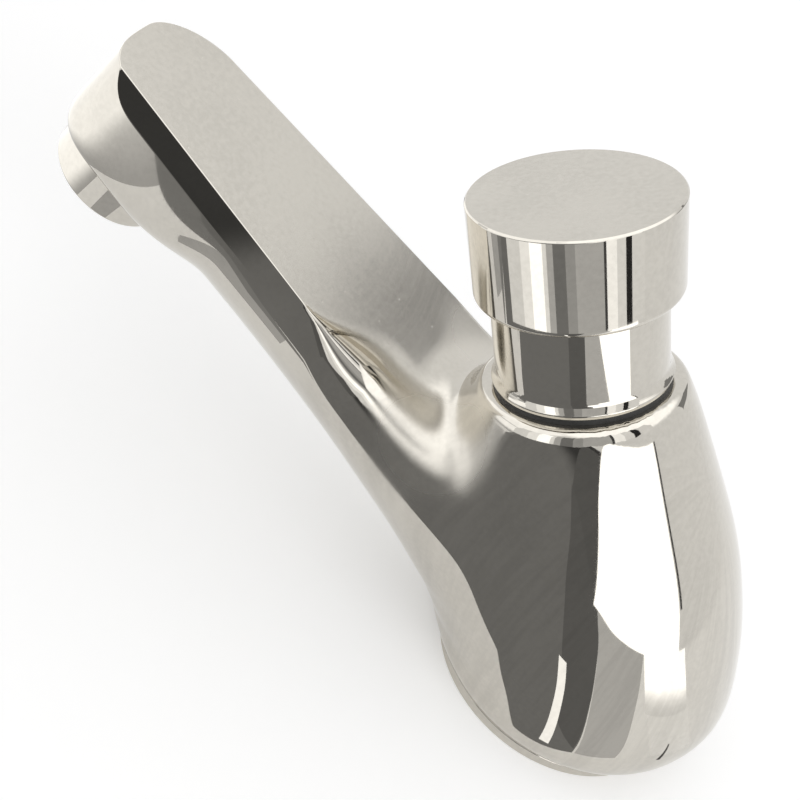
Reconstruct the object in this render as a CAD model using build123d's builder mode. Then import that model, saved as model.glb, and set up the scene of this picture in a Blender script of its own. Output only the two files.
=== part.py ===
"""Push timed tap: a leaning push cap on an egg-shaped body with a long flat-topped spout.

Every size is in millimetres. Z points up from the mounting plane, the spout reaches
towards -Y, and X = 0 is the plane of symmetry. The origin is the centre of the base.
Depths on the push axis count down from the top of the cap. Depths in the spout count
down from its flat top, and distances in it count back from the outlet's axis.
"""
from build123d import *
from math import cos, pi, radians, sin
import os

os.makedirs("parts", exist_ok=True)

# Main sizes
cap_lean = 31.4
cap_top_forward = 51.8
cap_top_height = 101.7
spout_rise = 20.5
spout_tip_forward = 123.9
spout_tip_height = 76.3
base_diameter = 57.2
base_ring_height = 2.4

# Clearances
running_gap = 0.05
free_gap = 0.4

# Body egg: rear point and front point (forward, up), and half width
body_rings = [
    ((-28.6, 2.4), (28.6, 2.4), 28.6),
    ((-32.6, 6.8), (29.6, 4.0), 30.2),
    ((-34.2, 13.6), (30.4, 6.0), 31.0),
    ((-32.6, 21.0), (31.0, 8.2), 31.4),
    ((-28.0, 30.8), (32.2, 10.6), 31.5),
    ((-22.5, 39.9), (33.8, 14.0), 31.2),
    ((-14.6, 50.6), (36.8, 19.2), 30.0),
    ((-5.2, 60.6), (41.3, 32.2), 27.2),
    ((2.3, 68.0), (44.5, 42.3), 24.7),
    ((7.9, 73.4), (46.7, 49.8), 22.7),
    ((12.6, 77.5), (48.0, 56.0), 20.8),
]
ring_points = 24
rim_depth = 38.4
rim_radius = 19.6

# Spout outside: distance behind the outlet axis, depth of the keel, and facet lean
spout_stations = [
    (0.0, 22.6, 2.0),
    (10.0, 24.2, 2.0),
    (22.0, 24.7, 2.0),
    (38.0, 25.0, 1.4),
    (52.0, 26.0, 0.7),
    (67.2, 27.5, 0.2),
    (83.2, 29.9, 0.0),
    (98.2, 32.6, 0.0),
    (110.2, 33.6, 0.0),
    (120.2, 31.0, 0.0),
]
facet_stations = [(-20.0, 2.0), (22.0, 2.0), (38.0, 1.4), (52.0, 0.7), (64.0, 0.05)]
facet_cut = 6.0
crease_half_width = 14.4
crease_taper_share = 0.098
facet_depth = 4.6
tip_lean = 2.0
keel_points = 12
tip_length = 15.7
tip_square_power = 2.35
tip_points = 24
outlet_depth = 22.0
tip_root = 8.0
blend_radius = 7.0
blend_reach_low = -48.0
blend_reach_high = -20.0
blend_shortest = 4.0
blend_top = 50.0
underside_round = 1.2

# Waterway and bores in the body
casting_wall = 3.4
waterway_start = 15.5
waterway_end = 98.2
link_radius = 4.5
link_depth = 12.0
link_end = 112.0
outlet_link_depth = 9.5
outlet_link_radius = 4.6
outlet_chamber_radius = 8.5
outlet_chamber_top = 5.5
collar_bore_radius = 15.6
collar_bore_end = 49.5
cartridge_bore_radius = 12.6
cartridge_bore_end = 92.0
port_chamber_radius = 15.0
port_chamber_start = 71.0
port_chamber_end = 82.0
valve_chamber_radius = 9.5
valve_chamber_end = 99.5
inlet_bore_height = 18.5
inlet_bore_radius = 8.6
saving_inner_radius = 16.4
saving_outer_radius = 23.4
saving_height = 9.0

# Cap and collar
cap_radius = 20.0
cap_skirt_radius = 19.7
cap_height = 19.0
cap_edge = 0.35
cap_skirt_round = 1.3
cap_bore_radius = 17.25
cap_crown = 3.0
cap_boss_radius = 10.6
cap_boss_end = 10.8
collar_radius = 16.75
collar_top = 10.6
collar_foot_radius = 17.6
collar_foot_start = 34.2
collar_foot_end = 37.3
collar_foot_round = 0.9
collar_bore = 13.6
collar_spigot_end = 46.2
seal_outer_radius = 17.2

# Cartridge
barrel_flange_radius = 15.3
barrel_neck_radius = 12.9
barrel_bore_radius = 9.5
barrel_neck_start = 30.5
barrel_end = 90.0
web_start = 66.0
web_end = 69.0
seat_start = 83.5
seat_end = 86.0
seat_radius = 6.5
port_depth = 76.0
port_radius = 3.2
port_count = 6
seal_ring_radius = 1.0
upper_ring_inset = 8.5
lower_ring_inset = 2.2
gland_top = 26.5
gland_end = 36.0
gland_slot = 2.0
stem_seal_depth = 33.0
stem_seal_radius = 0.9
stem_radius = 3.0
stem_start = 4.0
stem_end = 93.0
hub_radius = 8.0
hub_flange_radius = 9.6
hub_end = 12.6
piston_start = 50.0
piston_end = 55.5
cup_end = 58.5
cup_web_end = 57.0
cup_lip = 1.1
clip_thickness = 0.8
clip_radius = 5.2
clip_groove_radius = 2.4
bleed_pin_radius = 0.4
bleed_hole_radius = 0.6
bleed_pin_offset = 6.2
bleed_pin_start = 45.0
washer_end = 88.6
washer_radius = 8.6
disc_end = 90.4
nut_across = 9.0

# Return spring
spring_turns = 5
spring_radius = 7.0
spring_wire = 0.6
spring_steps = 24

# Base and inlet
gasket_inner_radius = 21.0
gasket_outer_radius = 26.4
gasket_height = 1.4
bush_radius = 13.0
bush_bore_radius = 9.3
bush_end = 11.0
strainer_radius = 10.4
strainer_seat = 9.8
strainer_thickness = 1.0
mesh_hole_radius = 0.75
mesh_pitch = 2.3
mesh_rows = 3

# Outlet fittings
housing_radius = 13.0
housing_end = 31.0
housing_neck_top = 14.6
housing_bore_radius = 10.3
housing_lip_radius = 9.5
spot_face_radius = 13.5
outlet_bore_radius = 12.0
washer_seat_depth = 12.9
insert_top = 16.2
insert_end = 30.0
insert_hole_radius = 1.05
insert_pitch = 2.75
screen_top = 15.2

lean = radians(cap_lean)
rise = radians(spout_rise)
push_up = Vector(0, -sin(lean), cos(lean))
cap_top_point = Vector(0, -cap_top_forward, cap_top_height)
upper_ring_depth = collar_bore_end + upper_ring_inset
lower_ring_depth = barrel_end - lower_ring_inset
spout_back = Vector(0, cos(rise), -sin(rise))
spout_up = Vector(0, sin(rise), cos(rise))
spout_top_point = Vector(0, -spout_tip_forward, spout_tip_height)
push_line = Axis(cap_top_point, push_up)
outlet_line = Axis(spout_top_point, spout_up)
push_section = Plane(origin=cap_top_point, x_dir=(1, 0, 0), z_dir=(0, -cos(lean), -sin(lean)))
outlet_section = Plane(origin=spout_top_point, x_dir=(1, 0, 0), z_dir=(0, -cos(rise), sin(rise)))


def push_plane(depth):
    """Plane across the push axis at a depth, its normal up the axis."""
    return Plane(origin=cap_top_point - push_up * depth, x_dir=(1, 0, 0), z_dir=push_up)


def spout_plane(distance):
    """Plane across the spout at a distance behind the outlet axis, its second axis down."""
    return Plane(origin=spout_top_point + spout_back * distance, x_dir=(1, 0, 0), z_dir=spout_back)


def outlet_plane(depth):
    """Plane across the outlet at a depth below the spout's top, its normal up."""
    return Plane(origin=spout_top_point - spout_up * depth, x_dir=(1, 0, 0), z_dir=spout_up)


def ring_plane(rear, front):
    """Plane through a rear and a front point of the body, level from side to side."""
    across = Vector(0, front[0] - rear[0], rear[1] - front[1]).normalized()
    middle = Vector(0, -(rear[0] + front[0]) / 2, (rear[1] + front[1]) / 2)
    return Plane(origin=middle, x_dir=(1, 0, 0), z_dir=Vector(1, 0, 0).cross(across))


def ring_span(rear, front):
    """Length from a rear point to a front point."""
    return ((rear[0] - front[0]) ** 2 + (rear[1] - front[1]) ** 2) ** 0.5


def oval(half_width, half_length):
    """Points round an oval, starting at the side."""
    return [
        (half_width * cos(2 * pi * i / ring_points), half_length * sin(2 * pi * i / ring_points))
        for i in range(ring_points)
    ]


def crease_at(distance):
    """Half width of the spout's flat top."""
    return crease_half_width + crease_taper_share * distance


def keel_curve(half_width, top, bottom):
    """Points of the rounded underside from one side to the other."""
    return [
        (half_width * cos(pi * i / keel_points), top + (bottom - top) * sin(pi * i / keel_points))
        for i in range(keel_points + 1)
    ]


def tip_curve():
    """Points of the spout's rounded end, seen from above."""
    half_width = crease_half_width + tip_lean
    points = []
    for i in range(tip_points + 1):
        angle = pi * i / tip_points
        across = abs(cos(angle)) ** (2 / tip_square_power) * (1 if cos(angle) >= 0 else -1)
        along = abs(sin(angle)) ** (2 / tip_square_power)
        points.append((half_width * across, -tip_length * along))
    return points



with BuildPart() as body:
    for rear, front, half_width in body_rings:
        with BuildSketch(ring_plane(rear, front)):
            with BuildLine():
                Spline(*oval(half_width, ring_span(rear, front) / 2), periodic=True)
            make_face()
    with BuildSketch(push_plane(rim_depth)):
        with BuildLine():
            Spline(*oval(rim_radius, rim_radius), periodic=True)
        make_face()
    loft()
    # The spout's flat top, upright shoulders and rounded keel
    for distance, depth, facet_lean in spout_stations:
        shoulder = crease_at(distance) + facet_lean
        with BuildSketch(spout_plane(distance)):
            with BuildLine():
                Line((-shoulder, 0), (shoulder, 0))
                Line((shoulder, 0), (shoulder, facet_depth))
                Spline(*keel_curve(shoulder, facet_depth, depth))
                Line((-shoulder, facet_depth), (-shoulder, 0))
            make_face()
    loft()
    junction = [
        edge
        for edge in body.edges().filter_by(lambda edge: edge.length > blend_shortest)
        if edge.bounding_box().min.Y > blend_reach_low and edge.bounding_box().max.Y < blend_reach_high
        and edge.bounding_box().min.Z > base_ring_height and edge.bounding_box().max.Z < blend_top
    ]
    fillet(junction, blend_radius)
    # The spout's end, seen from above
    with BuildSketch(outlet_plane(0)):
        with BuildLine():
            Spline(*tip_curve())
            Polyline(tip_curve()[-1], (tip_curve()[-1][0], tip_root), (tip_curve()[0][0], tip_root), tip_curve()[0])
        make_face()
    extrude(amount=-outlet_depth)
    # The long side facets under the flat top
    for side in (1, -1):
        for distance, facet_lean in facet_stations:
            crease = crease_at(distance)
            with BuildSketch(spout_plane(distance)):
                with BuildLine():
                    Polyline(
                        (side * crease, 0),
                        (side * (crease + facet_lean), facet_depth),
                        (side * (crease + facet_cut), facet_depth),
                        (side * (crease + facet_cut), 0),
                        close=True,
                    )
                make_face()
        loft(mode=Mode.SUBTRACT)
    # Bores on the push axis
    with BuildSketch(push_section):
        with BuildLine():
            Polyline(
                (0, 0),
                (collar_bore_radius, 0),
                (collar_bore_radius, -collar_bore_end),
                (cartridge_bore_radius, -collar_bore_end),
                (cartridge_bore_radius, -port_chamber_start),
                (port_chamber_radius, -port_chamber_start),
                (port_chamber_radius, -port_chamber_end),
                (cartridge_bore_radius, -port_chamber_end),
                (cartridge_bore_radius, -cartridge_bore_end),
                (valve_chamber_radius, -cartridge_bore_end),
                (valve_chamber_radius, -valve_chamber_end),
                (0, -valve_chamber_end),
                close=True,
            )
        make_face()
    revolve(axis=push_line, mode=Mode.SUBTRACT)
    # Inlet bore and the pocket that holds the inlet bush
    with BuildSketch(Plane.XY):
        Circle(inlet_bore_radius)
    extrude(amount=inlet_bore_height, mode=Mode.SUBTRACT)
    with BuildSketch(Plane.XY):
        Circle(bush_radius)
    extrude(amount=bush_end, mode=Mode.SUBTRACT)
    with BuildSketch(Plane.XY):
        Circle(saving_outer_radius)
        Circle(saving_inner_radius, mode=Mode.SUBTRACT)
    extrude(amount=saving_height, mode=Mode.SUBTRACT)
    # Waterway inside the spout
    for distance, depth, facet_lean in spout_stations:
        if waterway_start < distance < waterway_end + base_ring_height:
            half_width = crease_at(distance) - casting_wall
            with BuildSketch(spout_plane(distance)):
                with BuildLine():
                    Line((-half_width, casting_wall), (half_width, casting_wall))
                    Line((half_width, casting_wall), (half_width, casting_wall + facet_depth))
                    Spline(*keel_curve(half_width, casting_wall + facet_depth, depth - casting_wall))
                    Line((-half_width, casting_wall + facet_depth), (-half_width, casting_wall))
                make_face()
    loft(mode=Mode.SUBTRACT)
    with BuildSketch(spout_plane(waterway_end - casting_wall)):
        with Locations((0, link_depth)):
            Circle(link_radius)
    extrude(amount=link_end - waterway_end + casting_wall, mode=Mode.SUBTRACT)
    with BuildSketch(spout_plane(0)):
        with Locations((0, outlet_link_depth)):
            Circle(outlet_link_radius)
    extrude(amount=waterway_start + link_depth, mode=Mode.SUBTRACT)
    # Outlet bore, chamber above it and seat round the aerator
    with BuildSketch(outlet_section):
        with BuildLine():
            Polyline(
                (0, -outlet_chamber_top),
                (outlet_chamber_radius, -outlet_chamber_top),
                (outlet_chamber_radius, -washer_seat_depth),
                (outlet_bore_radius, -washer_seat_depth),
                (outlet_bore_radius, -outlet_depth),
                (spot_face_radius, -outlet_depth),
                (spot_face_radius, -housing_end),
                (0, -housing_end),
                close=True,
            )
        make_face()
    revolve(axis=outlet_line, mode=Mode.SUBTRACT)
body.part.label = "body"
export_step(body.part, "parts/body.step")

with BuildPart() as base_ring:
    with BuildSketch(Plane.XY):
        Circle(base_diameter / 2)
        Circle(bush_radius + free_gap, mode=Mode.SUBTRACT)
    extrude(amount=base_ring_height)
    with BuildSketch(Plane.XY):
        Circle(gasket_outer_radius)
        Circle(gasket_inner_radius, mode=Mode.SUBTRACT)
    extrude(amount=gasket_height, mode=Mode.SUBTRACT)
base_ring.part.label = "base_ring"
export_step(base_ring.part, "parts/base_ring.step")

with BuildPart() as base_gasket:
    with BuildSketch(Plane.XY):
        Circle(gasket_outer_radius)
        Circle(gasket_inner_radius, mode=Mode.SUBTRACT)
    extrude(amount=gasket_height)
base_gasket.part.label = "base_gasket"
export_step(base_gasket.part, "parts/base_gasket.step")

with BuildPart() as inlet_bush:
    with BuildSketch(Plane.XZ):
        with BuildLine():
            Polyline(
                (bush_bore_radius, 0),
                (bush_radius, 0),
                (bush_radius, bush_end),
                (strainer_radius, bush_end),
                (strainer_radius, strainer_seat),
                (inlet_bore_radius, strainer_seat),
                (inlet_bore_radius, strainer_seat - strainer_thickness),
                (bush_bore_radius, strainer_seat - strainer_thickness),
                close=True,
            )
        make_face()
    revolve(axis=Axis.Z)
inlet_bush.part.label = "inlet_bush"
export_step(inlet_bush.part, "parts/inlet_bush.step")

with BuildPart() as inlet_strainer:
    with BuildSketch(Plane.XY.offset(strainer_seat)):
        Circle(strainer_radius)
        Circle(mesh_hole_radius, mode=Mode.SUBTRACT)
        for row in range(1, mesh_rows + 1):
            with PolarLocations(row * mesh_pitch, 6 * row):
                Circle(mesh_hole_radius, mode=Mode.SUBTRACT)
    extrude(amount=strainer_thickness)
inlet_strainer.part.label = "inlet_strainer"
export_step(inlet_strainer.part, "parts/inlet_strainer.step")

with BuildPart() as cartridge_barrel:
    barrel_radius = cartridge_bore_radius - running_gap
    groove_radius = cartridge_bore_radius - 2 * seal_ring_radius
    with BuildSketch(push_section):
        with BuildLine():
            Polyline(
                (barrel_bore_radius, -barrel_neck_start),
                (barrel_neck_radius, -barrel_neck_start),
                (barrel_neck_radius, -collar_spigot_end),
                (barrel_flange_radius, -collar_spigot_end),
                (barrel_flange_radius, -collar_bore_end),
                (barrel_radius, -collar_bore_end),
                (barrel_radius, -upper_ring_depth + seal_ring_radius),
                (groove_radius, -upper_ring_depth + seal_ring_radius),
                (groove_radius, -upper_ring_depth - seal_ring_radius),
                (barrel_radius, -upper_ring_depth - seal_ring_radius),
                (barrel_radius, -lower_ring_depth + seal_ring_radius),
                (groove_radius, -lower_ring_depth + seal_ring_radius),
                (groove_radius, -lower_ring_depth - seal_ring_radius),
                (barrel_radius, -lower_ring_depth - seal_ring_radius),
                (barrel_radius, -barrel_end),
                (barrel_bore_radius, -barrel_end),
                (barrel_bore_radius, -seat_end),
                (seat_radius, -seat_end),
                (seat_radius, -seat_start),
                (barrel_bore_radius, -seat_start),
                (barrel_bore_radius, -web_end),
                (stem_radius + running_gap, -web_end),
                (stem_radius + running_gap, -web_start),
                (barrel_bore_radius, -web_start),
                close=True,
            )
        make_face()
    revolve(axis=push_line)
    for index in range(port_count):
        turn = 2 * pi * index / port_count
        outward = Vector(1, 0, 0) * cos(turn) + Vector(0, cos(lean), sin(lean)) * sin(turn)
        port_point = cap_top_point - push_up * port_depth
        with BuildSketch(Plane(origin=port_point, x_dir=push_up, z_dir=outward)):
            Circle(port_radius)
        extrude(amount=collar_bore_radius, mode=Mode.SUBTRACT)
    with BuildSketch(push_plane(web_start)):
        with Locations((bleed_pin_offset, 0)):
            Circle(bleed_pin_radius)
    extrude(amount=web_start - web_end, mode=Mode.SUBTRACT)
cartridge_barrel.part.label = "cartridge_barrel"
export_step(cartridge_barrel.part, "parts/cartridge_barrel.step")

with BuildPart() as upper_barrel_ring:
    with BuildSketch(push_section):
        with Locations((cartridge_bore_radius - seal_ring_radius, -upper_ring_depth)):
            Circle(seal_ring_radius)
    revolve(axis=push_line)
upper_barrel_ring.part.label = "upper_barrel_ring"
export_step(upper_barrel_ring.part, "parts/upper_barrel_ring.step")

with BuildPart() as lower_barrel_ring:
    with BuildSketch(push_section):
        with Locations((cartridge_bore_radius - seal_ring_radius, -lower_ring_depth)):
            Circle(seal_ring_radius)
    revolve(axis=push_line)
lower_barrel_ring.part.label = "lower_barrel_ring"
export_step(lower_barrel_ring.part, "parts/lower_barrel_ring.step")

with BuildPart() as gland_nut:
    stem_seal_outer = stem_radius + running_gap + 2 * stem_seal_radius
    with BuildSketch(push_section):
        with BuildLine():
            Polyline(
                (stem_radius + running_gap, -gland_top),
                (barrel_neck_radius, -gland_top),
                (barrel_neck_radius, -barrel_neck_start),
                (barrel_bore_radius, -barrel_neck_start),
                (barrel_bore_radius, -gland_end),
                (stem_radius + running_gap, -gland_end),
                (stem_radius + running_gap, -stem_seal_depth - stem_seal_radius),
                (stem_seal_outer, -stem_seal_depth - stem_seal_radius),
                (stem_seal_outer, -stem_seal_depth + stem_seal_radius),
                (stem_radius + running_gap, -stem_seal_depth + stem_seal_radius),
                close=True,
            )
        make_face()
    revolve(axis=push_line)
    with BuildSketch(push_plane(gland_top)):
        with PolarLocations(barrel_neck_radius, 2):
            Rectangle(2 * gland_slot, gland_slot)
    extrude(amount=-gland_slot, mode=Mode.SUBTRACT)
gland_nut.part.label = "gland_nut"
export_step(gland_nut.part, "parts/gland_nut.step")

with BuildPart() as stem_seal:
    with BuildSketch(push_section):
        with Locations((stem_radius + running_gap + stem_seal_radius, -stem_seal_depth)):
            Circle(stem_seal_radius)
    revolve(axis=push_line)
stem_seal.part.label = "stem_seal"
export_step(stem_seal.part, "parts/stem_seal.step")

with BuildPart() as stem:
    with BuildSketch(push_section):
        with BuildLine():
            Polyline(
                (0, -stem_start),
                (stem_radius, -stem_start),
                (stem_radius, -piston_start + clip_thickness),
                (clip_groove_radius, -piston_start + clip_thickness),
                (clip_groove_radius, -piston_start),
                (stem_radius, -piston_start),
                (stem_radius, -cup_web_end),
                (clip_groove_radius, -cup_web_end),
                (clip_groove_radius, -cup_web_end - clip_thickness),
                (stem_radius, -cup_web_end - clip_thickness),
                (stem_radius, -stem_end),
                (0, -stem_end),
                close=True,
            )
        make_face()
    revolve(axis=push_line)
stem.part.label = "stem"
export_step(stem.part, "parts/stem.step")

with BuildPart() as stem_clips:
    for clip_top in (piston_start - clip_thickness, cup_web_end):
        with BuildSketch(push_plane(clip_top)):
            Circle(clip_radius)
            Circle(clip_groove_radius, mode=Mode.SUBTRACT)
            with Locations((0, clip_radius)):
                Rectangle(2 * clip_groove_radius - 2 * free_gap, 2 * clip_radius, mode=Mode.SUBTRACT)
        extrude(amount=-clip_thickness)
stem_clips.part.label = "stem_clips"
export_step(stem_clips.part, "parts/stem_clips.step")

with BuildPart() as piston:
    with BuildSketch(push_plane(piston_start)):
        Circle(barrel_bore_radius - running_gap)
        Circle(stem_radius, mode=Mode.SUBTRACT)
        with Locations((bleed_pin_offset, 0)):
            Circle(bleed_hole_radius, mode=Mode.SUBTRACT)
    extrude(amount=piston_start - piston_end)
piston.part.label = "piston"
export_step(piston.part, "parts/piston.step")

with BuildPart() as cup_seal:
    with BuildSketch(push_section):
        with BuildLine():
            Polyline(
                (stem_radius, -piston_end),
                (barrel_bore_radius - free_gap, -piston_end),
                (barrel_bore_radius - running_gap, -cup_end),
                (barrel_bore_radius - cup_lip, -cup_end),
                (barrel_bore_radius - cup_lip - running_gap, -cup_web_end),
                (stem_radius, -cup_web_end),
                close=True,
            )
        make_face()
    revolve(axis=push_line)
    with BuildSketch(push_plane(piston_end)):
        with Locations((bleed_pin_offset, 0)):
            Circle(bleed_hole_radius)
    extrude(amount=piston_end - cup_end, mode=Mode.SUBTRACT)
cup_seal.part.label = "cup_seal"
export_step(cup_seal.part, "parts/cup_seal.step")

with BuildPart() as bleed_pin:
    with BuildSketch(push_plane(bleed_pin_start)):
        with Locations((bleed_pin_offset, 0)):
            Circle(bleed_pin_radius)
    extrude(amount=bleed_pin_start - web_end)
bleed_pin.part.label = "bleed_pin"
export_step(bleed_pin.part, "parts/bleed_pin.step")

with BuildPart() as valve_washer:
    with BuildSketch(push_plane(seat_end)):
        Circle(washer_radius)
        Circle(stem_radius, mode=Mode.SUBTRACT)
    extrude(amount=seat_end - washer_end)
valve_washer.part.label = "valve_washer"
export_step(valve_washer.part, "parts/valve_washer.step")

with BuildPart() as valve_disc:
    with BuildSketch(push_plane(washer_end)):
        Circle(washer_radius - free_gap)
        Circle(stem_radius, mode=Mode.SUBTRACT)
    extrude(amount=washer_end - disc_end)
valve_disc.part.label = "valve_disc"
export_step(valve_disc.part, "parts/valve_disc.step")

with BuildPart() as valve_nut:
    with BuildSketch(push_plane(disc_end)):
        RegularPolygon(radius=nut_across / 2, side_count=6, major_radius=False)
        Circle(stem_radius, mode=Mode.SUBTRACT)
    extrude(amount=disc_end - stem_end)
valve_nut.part.label = "valve_nut"
export_step(valve_nut.part, "parts/valve_nut.step")

with BuildPart() as return_spring:
    coil_height = gland_top - hub_end - 2 * spring_wire
    coil_foot = cap_top_point - push_up * (gland_top - spring_wire)
    with BuildLine():
        coil = Helix(
            pitch=coil_height / spring_turns,
            height=coil_height,
            radius=spring_radius,
            center=coil_foot,
            direction=push_up,
        )
    with BuildSketch(Plane(origin=coil @ 0, z_dir=coil % 0)):
        Circle(spring_wire)
    sweep(is_frenet=True)
return_spring.part.label = "return_spring"
export_step(return_spring.part, "parts/return_spring.step")
spring_points = [coil @ (i / (spring_turns * spring_steps)) for i in range(spring_turns * spring_steps + 1)]
least_gap = min(
    (spring_points[i] - spring_points[j]).length - 2 * spring_wire
    for i in range(len(spring_points))
    for j in range(i + spring_steps // 2, len(spring_points))
)
print("least gap of the spring to itself", round(least_gap, 2), "mm")

with BuildPart() as cap_hub:
    with BuildSketch(push_section):
        with BuildLine():
            Polyline(
                (0, -cap_crown),
                (hub_radius, -cap_crown),
                (hub_radius, -cap_boss_end),
                (hub_flange_radius, -cap_boss_end),
                (hub_flange_radius, -hub_end),
                (stem_radius, -hub_end),
                (stem_radius, -stem_start),
                (0, -stem_start),
                close=True,
            )
        make_face()
    revolve(axis=push_line)
cap_hub.part.label = "cap_hub"
export_step(cap_hub.part, "parts/cap_hub.step")

with BuildPart() as push_cap:
    with BuildSketch(push_section):
        with BuildLine():
            Polyline(
                (0, 0),
                (cap_radius - cap_edge, 0),
                (cap_radius, -cap_edge),
                (cap_skirt_radius, -cap_height + cap_skirt_round),
            )
            RadiusArc(
                (cap_skirt_radius, -cap_height + cap_skirt_round),
                (cap_skirt_radius - cap_skirt_round, -cap_height),
                cap_skirt_round,
            )
            Polyline(
                (cap_skirt_radius - cap_skirt_round, -cap_height),
                (cap_bore_radius, -cap_height),
                (cap_bore_radius, -cap_crown),
                (cap_boss_radius, -cap_crown),
                (cap_boss_radius, -cap_boss_end),
                (hub_radius, -cap_boss_end),
                (hub_radius, -cap_crown),
                (0, -cap_crown),
                (0, 0),
            )
        make_face()
    revolve(axis=push_line)
push_cap.part.label = "push_cap"
export_step(push_cap.part, "parts/push_cap.step")

with BuildPart() as collar:
    with BuildSketch(push_section):
        with BuildLine():
            Line((collar_bore, -collar_top), (collar_radius - cap_edge, -collar_top))
            Line((collar_radius - cap_edge, -collar_top), (collar_radius, -collar_top - cap_edge))
            Line((collar_radius, -collar_top - cap_edge), (collar_radius, -collar_foot_start))
            Spline(
                (collar_radius, -collar_foot_start),
                (collar_foot_radius, -collar_foot_end + collar_foot_round),
                (collar_foot_radius - cap_edge, -collar_foot_end),
                tangents=((0, -1), (-1, -1)),
            )
            Polyline(
                (collar_foot_radius - cap_edge, -collar_foot_end),
                (collar_bore_radius, -collar_foot_end),
                (collar_bore_radius, -collar_spigot_end),
                (collar_bore, -collar_spigot_end),
                (collar_bore, -collar_top),
            )
        make_face()
    revolve(axis=push_line)
collar.part.label = "collar"
export_step(collar.part, "parts/collar.step")

with BuildPart() as collar_seal:
    with BuildSketch(push_plane(collar_foot_end)):
        Circle(seal_outer_radius)
        Circle(collar_bore_radius, mode=Mode.SUBTRACT)
    extrude(amount=collar_foot_end - rim_depth)
collar_seal.part.label = "collar_seal"
export_step(collar_seal.part, "parts/collar_seal.step")

with BuildPart() as aerator_washer:
    with BuildSketch(outlet_plane(washer_seat_depth)):
        Circle(outlet_bore_radius)
        Circle(outlet_chamber_radius, mode=Mode.SUBTRACT)
    extrude(amount=washer_seat_depth - housing_neck_top)
aerator_washer.part.label = "aerator_washer"
export_step(aerator_washer.part, "parts/aerator_washer.step")

with BuildPart() as aerator_housing:
    with BuildSketch(outlet_section):
        with BuildLine():
            Polyline(
                (housing_bore_radius, -housing_neck_top),
                (outlet_bore_radius, -housing_neck_top),
                (outlet_bore_radius, -outlet_depth),
                (housing_radius, -outlet_depth),
                (housing_radius, -housing_end + free_gap),
                (housing_radius - free_gap, -housing_end),
                (housing_lip_radius, -housing_end),
                (housing_lip_radius, -insert_end),
                (housing_bore_radius, -insert_end),
                close=True,
            )
        make_face()
    revolve(axis=outlet_line)
aerator_housing.part.label = "aerator_housing"
export_step(aerator_housing.part, "parts/aerator_housing.step")

with BuildPart() as aerator_insert:
    with BuildSketch(outlet_plane(insert_top)):
        Circle(housing_bore_radius)
        Circle(insert_hole_radius, mode=Mode.SUBTRACT)
        for row in range(1, mesh_rows + 1):
            with PolarLocations(row * insert_pitch, 6 * row):
                Circle(insert_hole_radius, mode=Mode.SUBTRACT)
    extrude(amount=insert_top - insert_end)
aerator_insert.part.label = "aerator_insert"
export_step(aerator_insert.part, "parts/aerator_insert.step")

with BuildPart() as aerator_screen:
    with BuildSketch(outlet_plane(screen_top)):
        Circle(housing_bore_radius)
        Circle(mesh_hole_radius, mode=Mode.SUBTRACT)
        for row in range(1, mesh_rows + 1):
            with PolarLocations(row * insert_pitch, 6 * row):
                Circle(mesh_hole_radius, mode=Mode.SUBTRACT)
    extrude(amount=screen_top - insert_top)
aerator_screen.part.label = "aerator_screen"
export_step(aerator_screen.part, "parts/aerator_screen.step")

pieces = [
    body, base_ring, base_gasket, inlet_bush, inlet_strainer, cartridge_barrel, upper_barrel_ring,
    lower_barrel_ring, gland_nut, stem_seal, stem, stem_clips, piston, cup_seal, bleed_pin,
    valve_washer, valve_disc, valve_nut, return_spring, cap_hub, push_cap, collar, collar_seal,
    aerator_washer, aerator_housing, aerator_insert, aerator_screen,
]
for piece in pieces:
    print(piece.part.label, piece.part.is_valid, len(piece.part.solids()), round(piece.part.volume, 1))
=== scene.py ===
"""Looks of the push timed tap: a polished casting, turned chrome parts and a bright studio.

Lengths in the shape classes are in millimetres, in forward, up and side coordinates: forward is
towards the spout's end, up is away from the basin, side is level. Pieces are placed in metres.
"""

import logging
import math
from dataclasses import dataclass, field
from enum import Enum

import bpy
import numpy as np
from mathutils import Matrix, Vector

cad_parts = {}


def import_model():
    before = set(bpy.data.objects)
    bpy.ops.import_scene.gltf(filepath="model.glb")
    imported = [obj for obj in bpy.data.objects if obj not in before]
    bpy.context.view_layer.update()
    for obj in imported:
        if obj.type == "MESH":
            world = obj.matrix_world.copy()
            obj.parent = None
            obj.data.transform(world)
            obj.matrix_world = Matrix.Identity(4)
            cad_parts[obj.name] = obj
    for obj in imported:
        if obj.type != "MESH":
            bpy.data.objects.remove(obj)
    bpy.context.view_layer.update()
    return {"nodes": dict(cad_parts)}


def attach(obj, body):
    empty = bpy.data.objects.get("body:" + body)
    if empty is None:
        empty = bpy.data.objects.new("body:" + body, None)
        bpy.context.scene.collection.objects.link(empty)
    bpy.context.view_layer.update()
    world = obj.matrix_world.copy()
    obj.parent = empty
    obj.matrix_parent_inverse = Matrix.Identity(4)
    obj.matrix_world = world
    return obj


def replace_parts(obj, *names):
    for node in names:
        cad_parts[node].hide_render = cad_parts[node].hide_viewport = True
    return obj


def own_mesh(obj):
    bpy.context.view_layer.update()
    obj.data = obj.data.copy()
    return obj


LOG = logging.getLogger("tap")
MM = 0.001
TAP_BODY = "tap"
PUSH_BODY = "push_group"
# Small limits, under which a value counts as nothing or is held up so that it can divide.
TINY = 1e-6
LEAST_SLOPE = 0.0001
LEAST_LENGTH = 0.001
# Kept from a table's length, so that a place in it always has a next entry.
LAST_CELL = 1.001
WHITE = (1.0, 1.0, 1.0, 1.0)

Array = np.ndarray
Socket = bpy.types.NodeSocket


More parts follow.
